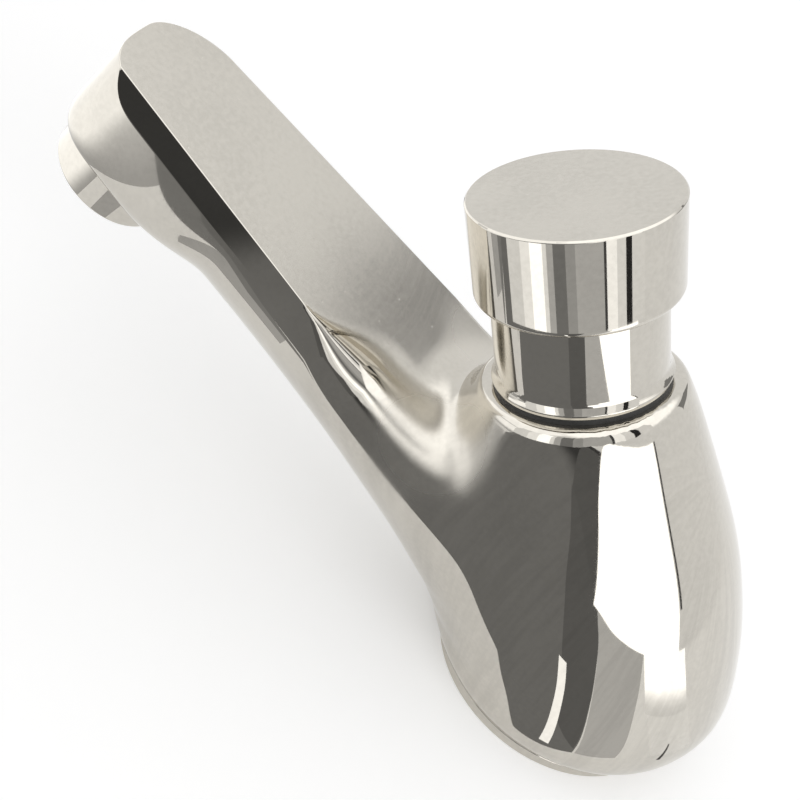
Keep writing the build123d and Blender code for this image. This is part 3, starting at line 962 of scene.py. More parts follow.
    def _trim(self, points: Array, faces: list, bore: Bore, limits: tuple) -> tuple[Array, list, Array]:
        """Cuts a round hole in the skin.

        Args:
            points: The skin's points.
            faces: The skin's faces.
            bore: The hole's axis.
            limits: The hole's radius, and how far from its edge along its axis the skin is cut.

        Returns:
            The points, the faces that stay, and the hole's edge in order.
        """
        radius, depth = limits
        reach, _, along = bore.polar(points)
        edge_depth = bore.profile[0][1] if bore is self.outlet else 0.0
        value = np.where(np.abs(along - edge_depth) < depth, reach - radius, radius)
        kept, cuts, extra = [], {}, []
        inward, across, side = bore.frame()

        def cut(i: int, j: int) -> int:
            """Cuts the line between two points.

            Args:
                i: Number of one end of a face's side.
                j: Number of its other end, on the other side of the hole's edge.

            Returns:
                Number of the point where their line meets the hole's edge.
            """
            key = (min(i, j), max(i, j))
            if key not in cuts:
                share = value[i] / (value[i] - value[j])
                place = points[i] + share * (points[j] - points[i])
                _, angle, drop = (float(v[0]) for v in bore.polar(place[None]))
                spoke = math.cos(angle) * across + math.sin(angle) * side
                cuts[key] = len(points) + len(extra)
                extra.append(np.array([*bore.origin, 0.0]) + inward * drop + spoke * radius)
            return cuts[key]

        for face in faces:
            levels = [value[i] > 0 for i in face]
            if all(levels):
                kept.append(face)
            elif any(levels):
                corners = []
                for k, i in enumerate(face):
                    j = face[(k + 1) % len(face)]
                    if value[i] > 0:
                        corners.append(i)
                    if (value[i] > 0) != (value[j] > 0):
                        corners.append(cut(i, j))
                kept.append(tuple(corners))
        fresh = np.array(extra)
        order = np.argsort(bore.polar(fresh)[1])
        return np.concatenate([points, fresh]), kept, fresh[order]

    def build(self, name: str) -> bpy.types.Object:
        """Makes the casting's piece.

        Args:
            name: Name of the piece.

        Returns:
            The closed casting with its mouth, outlet and foot.
        """
        rows = self._station_rows()
        main = self._even_out(self._main_grid(rows))
        points, faces = self._faces(main, self._fan_grid(rows[-1]))
        faces = [tuple(face) for face in faces.tolist()]
        points, faces, mouth_edge = self._trim(points, faces, self.mouth, self.mouth_cut)
        points, faces, outlet_edge = self._trim(points, faces, self.outlet, self.outlet_cut)
        mesh = PatchMesh()
        mesh.add(points, self.shape.normals(points), faces)
        self.mouth.line(mesh, mouth_edge)
        self.outlet.line(mesh, outlet_edge)
        self.foot.line(mesh, main[0])
        return mesh.build(name)


def along_up(forward: float, up: float) -> Vector:
    """A point or direction of the plane of symmetry in the shared frame, its lengths unchanged."""
    return Vector((0.0, -forward, up))


@dataclass
class TurnedPart:
    """A part turned in a lathe: a closed section of corners, each with its own small round."""

    name: str
    origin: tuple[float, float]
    axis: tuple[float, float]
    corners: tuple[tuple[float, float, float], ...]
    slot: str = Slot.TURNED.value
    body: str = TAP_BODY
    steps: int = 180
    arc_steps: int = 6
    straight: float = 0.0001

    def _section(self) -> tuple[Array, Array]:
        """Points and outward normals along the rounded section.

        Returns:
            Rows of radius and height, and rows of normal in the same plane.
        """
        rows = np.array(self.corners, float)
        places, normals = [], []
        count = len(rows)
        area = sum(rows[k - 1][0] * rows[k][1] - rows[k][0] * rows[k - 1][1] for k in range(count))
        turn = 1.0 if area > 0 else -1.0
        for k in range(count):
            corner, radius = rows[k, :2], rows[k, 2]
            before = corner - rows[k - 1, :2]
            after = rows[(k + 1) % count, :2] - corner
            before, after = before / np.linalg.norm(before), after / np.linalg.norm(after)
            first = np.array([before[1], -before[0]]) * turn
            last = np.array([after[1], -after[0]]) * turn
            swing = math.atan2(first[0] * last[1] - first[1] * last[0], float(first @ last))
            if radius <= 0 or abs(swing) < self.straight:
                places.extend([corner, corner])
                normals.extend([first, last])
                continue
            back = radius * math.tan(abs(swing) / 2)
            side = 1.0 if swing * turn > 0 else -1.0
            middle = corner - before * back - first * radius * side
            for share in np.linspace(0, 1, self.arc_steps + 1):
                angle = swing * share
                spin = np.array([[math.cos(angle), -math.sin(angle)], [math.sin(angle), math.cos(angle)]])
                out = spin @ first
                places.append(middle + out * radius * side)
                normals.append(out)
        return np.array(places), np.array(normals)

    def build(self) -> bpy.types.Object:
        """Turns the section round the axis.

        Returns:
            The new piece, riding on its body.
        """
        places, normals = self._section()
        axis = np.array([*self.axis, 0.0])
        across = np.array([-self.axis[1], self.axis[0], 0.0])
        turns = np.linspace(0, 2 * math.pi, self.steps, endpoint=False)
        spokes = np.outer(np.cos(turns), across) + np.outer(np.sin(turns), [0.0, 0.0, 1.0])
        points = places[:, None, 1:] * axis + places[:, None, :1] * spokes + [*self.origin, 0.0]
        facing = normals[:, None, 1:] * axis + normals[:, None, :1] * spokes
        mesh = PatchMesh()
        count = len(places)
        for k in range(count):
            after = (k + 1) % count
            on_axis = max(places[k][0], places[after][0]) < TINY
            if on_axis or np.allclose(places[k], places[after], atol=TINY):
                continue
            corners = np.concatenate([points[k], points[after]])
            mesh.add(corners, np.concatenate([facing[k], facing[after]]), band(self.steps))
        piece = mesh.build(self.name)
        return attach(piece, self.body)


@dataclass
class PushCap:
    """The leaning cap that is pressed, with its skirt over the collar."""

    radius: float = 20.0
    skirt_radius: float = 19.7
    height: float = 19.0
    edge: float = 0.35
    edge_round: float = 0.25
    skirt_round: float = 1.3
    bore_radius: float = 17.25
    crown: float = 3.0
    boss_radius: float = 10.6
    boss_end: float = 10.8
    hub_radius: float = 8.0
    rim_round: float = 0.2
    inner_round: float = 0.4

    def build(self, shape: TapShape) -> bpy.types.Object:
        """Makes the cap over its CAD node.

        Args:
            shape: The casting's shape, which holds the cap's axis.

        Returns:
            The cap.
        """
        corners = (
            (0.0, 0.0, 0.0),
            (self.radius - self.edge, 0.0, self.edge_round),
            (self.radius, -self.edge, self.edge_round),
            (self.skirt_radius, -self.height, self.skirt_round),
            (self.bore_radius, -self.height, self.rim_round),
            (self.bore_radius, -self.crown, self.inner_round),
            (self.boss_radius, -self.crown, self.inner_round),
            (self.boss_radius, -self.boss_end, self.rim_round),
            (self.hub_radius, -self.boss_end, self.rim_round),
            (self.hub_radius, -self.crown, self.rim_round),
            (0.0, -self.crown, 0.0),
        )
        part = TurnedPart("cap_shell", shape.cap_top, tuple(shape.push_up), corners, body=PUSH_BODY)
        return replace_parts(part.build(), "push_cap")


@dataclass
class Collar:
    """The turned ring that closes the casting's mouth under the cap."""

    radius: float = 16.75
    top: float = 10.6
    edge: float = 0.35
    foot_start: float = 34.2
    foot_radius: float = 17.6
    foot_end: float = 37.3
    foot_round: float = 0.9
    foot_edge: float = 0.5
    flare_round: float = 1.2
    edge_round: float = 0.2
    bore: float = 13.6
    spigot_radius: float = 15.6
    spigot_end: float = 46.2
    flare_steps: int = 8

    def _flare(self) -> list[tuple[float, float, float]]:
        """Spaces corners down the flared foot, close enough together to look smooth.

        Returns:
            Rows of radius, height and round.
        """
        rows = []
        drop = self.foot_end - self.foot_round - self.foot_start
        for share in np.linspace(0, 1, self.flare_steps + 1):
            bulge = (self.foot_radius - self.radius) * float(share) ** 2
            rows.append((self.radius + bulge, -self.foot_start - drop * float(share), self.flare_round))
        return rows[:-1] + [(self.foot_radius, -self.foot_end + self.foot_round, self.foot_edge)]

    def build(self, shape: TapShape) -> bpy.types.Object:
        """Makes the collar over its CAD node.

        Args:
            shape: The casting's shape, which holds the collar's axis.

        Returns:
            The collar.
        """
        corners = (
            (self.bore, -self.top, self.edge_round),
            (self.radius, -self.top, self.edge),
            *self._flare(),
            (self.foot_radius - self.edge, -self.foot_end, self.edge_round),
            (self.spigot_radius, -self.foot_end, 0.0),
            (self.spigot_radius, -self.spigot_end, self.edge_round),
            (self.bore, -self.spigot_end, self.edge_round),
        )
        part = TurnedPart("collar_ring", shape.cap_top, tuple(shape.push_up), corners)
        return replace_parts(part.build(), "collar")


@dataclass
class BaseRing:
    """The low ring that the casting stands on, recessed below for its gasket."""

    radius: float = 28.6
    height: float = 2.4
    bore: float = 13.1
    gasket_outer: float = 26.4
    gasket_inner: float = 21.0
    gasket_height: float = 1.4
    edge: float = 0.3
    inner_round: float = 0.1

    def build(self) -> bpy.types.Object:
        """Makes the ring over its CAD node.

        Returns:
            The ring.
        """
        corners = (
            (self.bore, 0.0, self.inner_round),
            (self.gasket_inner, 0.0, self.inner_round),
            (self.gasket_inner, self.gasket_height, self.inner_round),
            (self.gasket_outer, self.gasket_height, self.inner_round),
            (self.gasket_outer, 0.0, self.inner_round),
            (self.radius, 0.0, self.edge),
            (self.radius, self.height, self.edge),
            (self.bore, self.height, self.inner_round),
        )
        part = TurnedPart("foot_ring", (0.0, 0.0), (0.0, 1.0), corners)
        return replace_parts(part.build(), "base_ring")


@dataclass
class OutletShell:
    """The turned shell under the spout's end, which holds the jet breaker."""

    neck_top: float = 14.6
    neck_radius: float = 12.0
    seat: float = 22.0
    radius: float = 13.0
    end: float = 31.0
    lip_radius: float = 9.5
    insert_end: float = 30.0
    bore: float = 10.3
    neck_round: float = 0.1
    seat_round: float = 0.15
    end_round: float = 0.45
    lip_round: float = 0.3

    def build(self, shape: TapShape) -> bpy.types.Object:
        """Makes the shell over its CAD node.

        Args:
            shape: The casting's shape, which holds the outlet's axis.

        Returns:
            The shell.
        """
        corners = (
            (self.bore, -self.neck_top, 0.0),
            (self.neck_radius, -self.neck_top, self.neck_round),
            (self.neck_radius, -self.seat, self.neck_round),
            (self.radius, -self.seat, self.seat_round),
            (self.radius, -self.end, self.end_round),
            (self.lip_radius, -self.end, self.lip_round),
            (self.lip_radius, -self.insert_end, self.neck_round),
            (self.bore, -self.insert_end, 0.0),
        )
        part = TurnedPart("outlet_shell", shape.spout_top, tuple(shape.spout_up), corners)
        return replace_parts(part.build(), "aerator_housing")


@dataclass
class ReturnSpring:
    """The coil that lifts the cap, built at one fixed length."""

    foot_depth: float = 26.5
    head_depth: float = 12.6
    coil_radius: float = 7.0
    wire: float = 0.6
    turns: int = 5
    steps: int = 48
    sides: int = 12
    pressed_share: float = 0.56

    def build(self, shape: TapShape) -> bpy.types.Object:
        """Makes the coil, its ends closed.

        Args:
            shape: The casting's shape, which holds the cap's axis.

        Returns:
            The coil.
        """
        count = self.turns * self.steps + 1
        angles = np.linspace(0, 2 * math.pi * self.turns, count)[:, None]
        span = self.foot_depth - self.head_depth - 2 * self.wire
        depths = self.foot_depth - self.wire - span * np.linspace(0, 1, count)[:, None]
        upward = np.array([*shape.push_up, 0.0])
        across = np.array([*shape.push_forward, 0.0])
        side = np.array([0.0, 0.0, 1.0])
        spokes = np.cos(angles) * across + np.sin(angles) * side
        middle = np.array([*shape.cap_top, 0.0]) - depths * upward + self.coil_radius * spokes
        ring = np.linspace(0, 2 * math.pi, self.sides, endpoint=False)[None, :, None]
        normals = np.cos(ring) * spokes[:, None] + np.sin(ring) * upward
        points = middle[:, None] + self.wire * normals
        numbers = np.arange(count * self.sides).reshape(count, self.sides)
        turned = np.roll(numbers, -1, axis=1)
        faces = np.stack([numbers[:-1], turned[:-1], turned[1:], numbers[1:]], -1).reshape(-1, 4)
        mesh = PatchMesh()
        mesh.add(points.reshape(-1, 3), normals.reshape(-1, 3), faces)
        ends = np.cos(angles) * side - np.sin(angles) * across
        for row, way in ((0, -1.0), (-1, 1.0)):
            facing = np.repeat(way * ends[row][None], self.sides, 0)
            mesh.add(points[row], facing, [tuple(range(self.sides))])
        piece = mesh.build("lifting_coil")
        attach(piece, TAP_BODY)
        foot = np.array(shape.cap_top) - self.foot_depth * shape.push_up
        axis = tuple(along_up(*shape.push_up))
        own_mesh(piece)
        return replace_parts(piece, "return_spring")


class NodeTree:
    """A small helper that adds and joins the nodes of a material or a node group."""

    def __init__(self, tree: bpy.types.NodeTree) -> None:
        """Keeps the tree."""
        self.tree = tree

    def link(self, value: Socket, target: Socket) -> None:
        """Joins an output to an input."""
        self.tree.links.new(value, target)

    def add(self, kind: str, values: dict | None = None, **settings: object) -> bpy.types.Node:
        """Adds a node.

        Args:
            kind: Blender's name of the node.
            values: Input values or sockets to link, by input name or number.
            settings: Attributes of the node.

        Returns:
            The new node.
        """
        node = self.tree.nodes.new(kind)
        for key, value in settings.items():
            setattr(node, key, value)
        for key, value in (values or {}).items():
            if isinstance(value, Socket):
                self.link(value, node.inputs[key])
            else:
                node.inputs[key].default_value = value
        return node

    def group(self, group: bpy.types.NodeTree, values: dict | None = None) -> bpy.types.Node:
        """Places a node group."""
        return self.add("ShaderNodeGroup", values, node_tree=group)

    def place(self) -> Socket:
        """The place on the piece, in its own coordinates."""
        return self.add("ShaderNodeTexCoord").outputs["Object"]

    def facing(self) -> Socket:
        """The direction that the surface faces."""
        return self.add("ShaderNodeNewGeometry").outputs["Normal"]

    def math(self, operation: str, *values: object) -> Socket:
        """The result of a Math node."""
        return self.add("ShaderNodeMath", dict(enumerate(values)), operation=operation).outputs[0]

    def vector(self, operation: str, *values: object) -> Socket:
        """The vector that a Vector Math node gives."""
        return self.add("ShaderNodeVectorMath", dict(enumerate(values)), operation=operation).outputs[0]

    def measure(self, operation: str, first: object, second: object) -> Socket:
        """The number that a Vector Math node gives for two vectors."""
        node = self.add("ShaderNodeVectorMath", {0: first, 1: second}, operation=operation)
        return node.outputs["Value"]

    def spread(self, value: Socket, low: float, high: float, *ends: float) -> Socket:
        """A value mapped smoothly from low..high to 0..1, or to two ends where they are given."""
        values = dict(enumerate((value, low, high, *(ends or (0.0, 1.0)))))
        return self.add("ShaderNodeMapRange", values, interpolation_type="SMOOTHSTEP").outputs[0]

    def noise(self, place: object, scale: object, detail: float = 2.0) -> Socket:
        """A noise value at a place."""
        node = self.add("ShaderNodeTexNoise", {"Vector": place, "Scale": scale, "Detail": detail})
        return node.outputs[0]

    def mix(self, share: object, first: object, second: object) -> Socket:
        """A number between two numbers."""
        return self.add("ShaderNodeMix", {0: share, 2: first, 3: second}).outputs[0]

    def tint(self, share: object, first: object, second: tuple) -> Socket:
        """A colour between two colours.

        Args:
            share: Share of the second colour.
            first: A colour as red, green and blue, or a socket.
            second: A colour as red, green and blue.

        Returns:
            The mixed colour.
        """
        start = first if isinstance(first, Socket) else (*first, 1.0)
        values = {0: share, 6: start, 7: (*second, 1.0)}
        return self.add("ShaderNodeMix", values, data_type="RGBA").outputs[2]

    def seen(self) -> tuple[Socket, Socket]:
        """Tells which rays look at a thing.

        Returns:
            1 for rays that show it straight, mirrored or through, and 1 for mirrored rays alone.
        """
        rays = self.add("ShaderNodeLightPath")
        mirrored = rays.outputs["Is Glossy Ray"]
        straight = self.math("MAXIMUM", rays.outputs["Is Camera Ray"], mirrored)
        return self.math("MAXIMUM", straight, rays.outputs["Is Transmission Ray"]), mirrored


@dataclass
class EffectGroups:
    """Node groups for the effects that several finishes share, each built once."""

    wave_stretch: tuple[float, float, float] = (1.0, 0.7, 0.45)
    broad_scale: float = 45.0
    haze_limits: tuple[float, float] = (0.12, 0.42)
    stroke_drift: tuple[float, float, float] = (3.0, 3.0, 3.0)
    stroke_scales: tuple[float, float] = (24.0, 7.0)
    stroke_limits: tuple[float, float] = (0.14, 0.38)
    streak_bands: tuple = ((38.0, 2600.0), (70.0, 900.0), (14.0, 260.0))
    streak_weights: tuple[float, float] = (0.6, 0.4)
    streak_limits: tuple[float, float] = (0.3, 0.7)
    shade_limits: tuple[float, float] = (0.25, 0.75)
    pit_scale: float = 420.0
    pit_pick: float = 0.86
    pit_limits: tuple[float, float] = (0.10, 0.05)
    ring_limits: tuple[float, float] = (0.25, 0.75)
    mottle_scale: float = 260.0
    mottle_limits: tuple[float, float] = (0.3, 0.7)

    def __post_init__(self) -> None:
        """Builds the groups."""
        self.polish = self._polish()
        self.streaks = self._streaks()
        self.rings = self._rings()
        self.grain = self._grain()

    @staticmethod
    def _start(name: str, inputs: dict[str, tuple], outputs: tuple[str, ...]) -> tuple:
        """Makes an empty group.

        Args:
            name: Name of the group.
            inputs: Socket type and default value by input name.
            outputs: Names of its float outputs.

        Returns:
            The group, its node helper, the group's input node and output node.
        """
        group = bpy.data.node_groups.new(name, "ShaderNodeTree")
        for key, (kind, value) in inputs.items():
            socket = group.interface.new_socket(key, in_out="INPUT", socket_type=kind)
            socket.default_value = value
        for key in outputs:
            group.interface.new_socket(key, in_out="OUTPUT", socket_type="NodeSocketFloat")
        tree = NodeTree(group)
        return group, tree, tree.add("NodeGroupInput"), tree.add("NodeGroupOutput")

    def _polish(self) -> bpy.types.NodeTree:
        """Makes the faint waves, haze and strokes that hand polishing leaves.

        Returns:
            The group.
        """
        inputs = {"Wave Size": ("NodeSocketFloat", 60.0), "Haze Size": ("NodeSocketFloat", 900.0)}
        group, tree, given, out = self._start("hand_polish", inputs, ("Wave", "Haze", "Stroke"))
        place = tree.place()
        stretched = tree.vector("MULTIPLY", place, self.wave_stretch)
        tree.link(tree.noise(stretched, given.outputs[0], 1.0), out.inputs["Wave"])
        haze = tree.noise(place, given.outputs[1], 4.0)
        mixed = tree.math("MULTIPLY", haze, tree.noise(place, self.broad_scale, 3.0))
        tree.link(tree.spread(mixed, *self.haze_limits), out.inputs["Haze"])
        round_axis = tree.vector("NORMALIZE", tree.vector("MULTIPLY", place, (1.0, 1.0, 0.0)))
        turned = tree.vector("ADD", round_axis, tree.vector("MULTIPLY", place, self.stroke_drift))
        fine, coarse = self.stroke_scales
        stroke = tree.math("MULTIPLY", tree.noise(turned, fine, 3.0), tree.noise(turned, coarse, 1.0))
        tree.link(tree.spread(stroke, *self.stroke_limits), out.inputs["Stroke"])
        return group

    def _streaks(self) -> bpy.types.NodeTree:
        """Makes the fine curved streaks of a grinding belt, with a few pits.

        Returns:
            The group.
        """
        inputs = {
            "Along": ("NodeSocketVector", (0.0, 1.0, 0.0)),
            "Across": ("NodeSocketVector", (1.0, 0.0, 0.0)),
            "Bend": ("NodeSocketFloat", 8.0),
            "Fineness": ("NodeSocketFloat", 1.0),
        }
        group, tree, given, out = self._start("belt_streaks", inputs, ("Streak", "Pit", "Shade"))
        place = tree.place()
        along = tree.measure("DOT_PRODUCT", place, given.outputs["Along"])
        across = tree.measure("DOT_PRODUCT", place, given.outputs["Across"])
        square = tree.math("MULTIPLY", across, across)
        curved = tree.math("MULTIPLY_ADD", square, given.outputs["Bend"], along)
        fine = tree.math("MULTIPLY", curved, given.outputs["Fineness"])
        lines = []
        for length, width in self.streak_bands:
            values = {0: tree.math("MULTIPLY", across, length), 1: tree.math("MULTIPLY", fine, width)}
            lines.append(tree.noise(tree.add("ShaderNodeCombineXYZ", values).outputs[0], 1.0, 1.0))
        parts = [tree.math("MULTIPLY", line, share) for line, share in zip(lines, self.streak_weights)]
        streak = tree.math("ADD", *parts)
        cells = tree.add("ShaderNodeTexVoronoi", {"Vector": place, "Scale": self.pit_scale})
        number = tree.measure("DOT_PRODUCT", cells.outputs["Color"], (1.0, 0.0, 0.0))
        picked = tree.math("GREATER_THAN", number, self.pit_pick)
        pit = tree.math("MULTIPLY", tree.spread(cells.outputs["Distance"], *self.pit_limits), picked)
        tree.link(tree.spread(streak, *self.streak_limits), out.inputs["Streak"])
        tree.link(pit, out.inputs["Pit"])
        tree.link(tree.spread(lines[2], *self.shade_limits), out.inputs["Shade"])
        return group

    def _rings(self) -> bpy.types.NodeTree:
        """Makes the fine rings that a lathe leaves round an axis.

        Returns:
            The group.
        """
        inputs = {
            "Axis": ("NodeSocketVector", (0.0, 0.0, 1.0)),
            "Pitch": ("NodeSocketFloat", 2500.0),
        }
        group, tree, given, out = self._start("lathe_rings", inputs, ("Ring",))
        height = tree.measure("DOT_PRODUCT", tree.place(), given.outputs["Axis"])
        height = tree.math("MULTIPLY", height, given.outputs["Pitch"])
        where = tree.add("ShaderNodeCombineXYZ", {0: height}).outputs[0]
        tree.link(tree.spread(tree.noise(where, 1.0, 2.0), *self.ring_limits), out.inputs["Ring"])
        return group

    def _grain(self) -> bpy.types.NodeTree:
        """Makes the fine grain of moulded rubber and plastic.

        Returns:
            The group.
        """
        inputs = {"Size": ("NodeSocketFloat", 3000.0)}
        group, tree, given, out = self._start("mould_grain", inputs, ("Grain", "Mottle"))
        place = tree.place()
        tree.link(tree.noise(place, given.outputs[0], 3.0), out.inputs["Grain"])
        mottle = tree.spread(tree.noise(place, self.mottle_scale, 3.0), *self.mottle_limits)
        tree.link(mottle, out.inputs["Mottle"])
        return group


def clear_nodes(block: bpy.types.Material | bpy.types.World) -> NodeTree:
    """Empties the node tree of a material or a world.

    Args:
        block: The material or the world.

    Returns:
        The helper of its nodes.
    """
    block.use_nodes = True
    block.node_tree.nodes.clear()
    return NodeTree(block.node_tree)


class Finish:
    """What all finishes share: one Principled shader with a fine relief."""

    name: str
    metallic = 1.0

    def looks(self, tree: NodeTree, effects: EffectGroups) -> tuple[Socket, Socket, Socket]:
        """Adds the finish's own nodes and gives colour, roughness and height in millimetres."""
        raise NotImplementedError

    def material(self, effects: EffectGroups) -> bpy.types.Material:
        """Builds the material.

        Args:
            effects: The shared groups.

        Returns:
            The material.
        """
        material = bpy.data.materials.new(self.name)
        tree = clear_nodes(material)
        colour, rough, height = self.looks(tree, effects)
        bump = tree.add("ShaderNodeBump", {"Strength": 1.0, "Distance": MM, "Height": height})
        shader = tree.add("ShaderNodeBsdfPrincipled", {"Metallic": self.metallic})
        for key, value in (("Base Color", colour), ("Roughness", rough), ("Normal", bump.outputs[0])):
            tree.link(value, shader.inputs[key])
        tree.add("ShaderNodeOutputMaterial", {"Surface": shader.outputs[0]})
        return material


@dataclass(frozen=True)
class PolishedChrome(Finish):
    """Mirror chrome, with a belt-brushed flat where one is named."""

    name: str
    colour: tuple[float, float, float] = (0.60, 0.573, 0.519)
    worn: tuple[float, float, float] = (0.55, 0.525, 0.475)
    roughness: float = 0.025
    haze: float = 0.03
    wave_size: float = 60.0
    wave: float = 0.00002
    stroke: float = 0.0
    stroke_tone: float = 0.8
    stroke_facing: tuple[float, float] = (0.8, 0.55)
    flat_up: tuple[float, float, float] | None = None
    flat_along: tuple[float, float, float] = (0.0, 1.0, 0.0)
    flat_facing: tuple[float, float] = (0.965, 0.998)
    flat_limit: float = -1.0
    flat_edge: float = 0.008
    flat_roughness: float = 0.17
    streak_roughness: float = 0.02
    streak_height: float = 0.00007
    pit_height: float = -0.02
    shade: float = 0.08
    bend: float = 8.0
    soft_place: tuple[float, float, float] | None = None
    soft_reach: tuple[float, float] = (0.018, 0.009)
    soft_roughness: float = 0.3

    def looks(self, tree: NodeTree, effects: EffectGroups) -> tuple[Socket, Socket, Socket]:
        """Adds the polish, then the brushed flat, the strokes and the soft place where they are.

        Args:
            tree: The material's nodes.
            effects: The shared groups.

        Returns:
            Colour, roughness and height in millimetres.
        """
        polish = tree.group(effects.polish, {"Wave Size": self.wave_size})
        haze = polish.outputs["Haze"]
        rough = tree.spread(haze, 0.0, 1.0, self.roughness, self.roughness + self.haze)
        colour = tree.tint(haze, self.colour, self.worn)
        height = tree.math("MULTIPLY", polish.outputs["Wave"], self.wave / MM)
        if self.flat_up:
            colour, rough, height = self._brush(tree, effects, colour, rough, height)
        if self.stroke:
            dark = tuple(self.stroke_tone * value for value in self.worn)
            colour = tree.tint(self._stroke_share(tree, polish), colour, dark)
        if self.soft_place:
            rough = tree.mix(self._soft_mask(tree), rough, self.soft_roughness)
        return colour, rough, height

    def _brush(self, tree: NodeTree, effects: EffectGroups, *base: Socket) -> tuple[Socket, Socket, Socket]:
        """Lays the belt's streaks over the flat.

        Args:
            tree: The material's nodes.
            effects: The shared groups.
            base: Colour, roughness and height of the polish.

        Returns:
            Colour, roughness and height with the streaks.
        """
        colour, rough, height = base
        flat = self._flat_mask(tree)
        streaks = tree.group(effects.streaks, {"Along": self.flat_along, "Bend": self.bend})
        streak = streaks.outputs["Streak"]
        high = self.flat_roughness + self.streak_roughness
        brushed = tree.spread(streak, 0.0, 1.0, self.flat_roughness, high)
        line = tree.math("MULTIPLY", streak, self.streak_height)
        dent = tree.math("MULTIPLY", streaks.outputs["Pit"], self.pit_height)
        height = tree.math("MULTIPLY_ADD", tree.math("ADD", line, dent), flat, height)
        shade = tree.math("MULTIPLY", streaks.outputs["Shade"], tree.math("MULTIPLY", flat, self.shade))
        return tree.tint(shade, colour, self.worn), tree.mix(flat, rough, brushed), height

    def _stroke_share(self, tree: NodeTree, polish: bpy.types.Node) -> Socket:
        """Works out the share of the darker colour in the buff's strokes, none on a face that looks up.

        Args:
            tree: The material's nodes.
            polish: The polish group.

        Returns:
            The share.
        """
        height = tree.measure("DOT_PRODUCT", tree.facing(), (0.0, 0.0, 1.0))
        upright = tree.spread(height, *self.stroke_facing)
        return tree.math("MULTIPLY", tree.math("MULTIPLY", polish.outputs["Stroke"], upright), self.stroke)

    def _soft_mask(self, tree: NodeTree) -> Socket:
        """Marks the hollow beside the mouth, on both sides, where the buff reaches less well.

        Args:
            tree: The material's nodes.

        Returns:
            1 in the hollow, 0 away from it.
        """
        folded = tree.vector("ABSOLUTE", tree.place())
        centre = tuple(abs(value) for value in self.soft_place)
        return tree.spread(tree.measure("DISTANCE", folded, centre), *self.soft_reach)

    def _flat_mask(self, tree: NodeTree) -> Socket:
        """Marks where the surface faces the way of the brushed flat, in front of its limit.

        Args:
            tree: The material's nodes.

        Returns:
            1 on the flat, 0 off it.
        """
        turned = tree.spread(tree.measure("DOT_PRODUCT", tree.facing(), self.flat_up), *self.flat_facing)
        ahead = tree.measure("DOT_PRODUCT", tree.place(), (0.0, 1.0, 0.0))
        ahead = tree.spread(ahead, self.flat_limit + self.flat_edge, self.flat_limit)
        return tree.math("MULTIPLY", turned, ahead)


@dataclass(frozen=True)
class TurnedMetal(Finish):
    """Bare metal with the rings of the lathe or the lines of the drawing die."""

    name: str
    colour: tuple[float, float, float]
    dull: tuple[float, float, float]
    roughness: float
    axis: tuple[float, float, float] = (0.0, 0.0, 1.0)
    pitch: float = 2500.0
    ring: float = 0.002
    ring_roughness: float = 0.12

    def looks(self, tree: NodeTree, effects: EffectGroups) -> tuple[Socket, Socket, Socket]:
        """Adds the rings.

        Args:
            tree: The material's nodes.
            effects: The shared groups.

        Returns:
            Colour, roughness and height in millimetres.
        """
        ring = tree.group(effects.rings, {"Axis": self.axis, "Pitch": self.pitch}).outputs["Ring"]
        colour = tree.tint(tree.group(effects.polish).outputs["Haze"], self.colour, self.dull)
        rough = tree.spread(ring, 0.0, 1.0, self.roughness, self.roughness + self.ring_roughness)
        return colour, rough, tree.math("MULTIPLY", ring, self.ring)


@dataclass(frozen=True)
class Moulded(Finish):
    """Moulded rubber or plastic."""

    name: str
    colour: tuple[float, float, float]
    pale: tuple[float, float, float]
    roughness: float
    grain: float = 0.01
    size: float = 3000.0
    mottle_roughness: float = 0.1
    metallic: float = 0.0

    def looks(self, tree: NodeTree, effects: EffectGroups) -> tuple[Socket, Socket, Socket]:
        """Adds the grain.

        Args:
            tree: The material's nodes.
            effects: The shared groups.

        Returns:
            Colour, roughness and height in millimetres.
        """
        grain = tree.group(effects.grain, {"Size": self.size})
        mottle = grain.outputs["Mottle"]
        rough = tree.spread(mottle, 0.0, 1.0, self.roughness, self.roughness + self.mottle_roughness)
        height = tree.math("MULTIPLY", grain.outputs["Grain"], self.grain)
        return tree.tint(mottle, self.colour, self.pale), rough, height


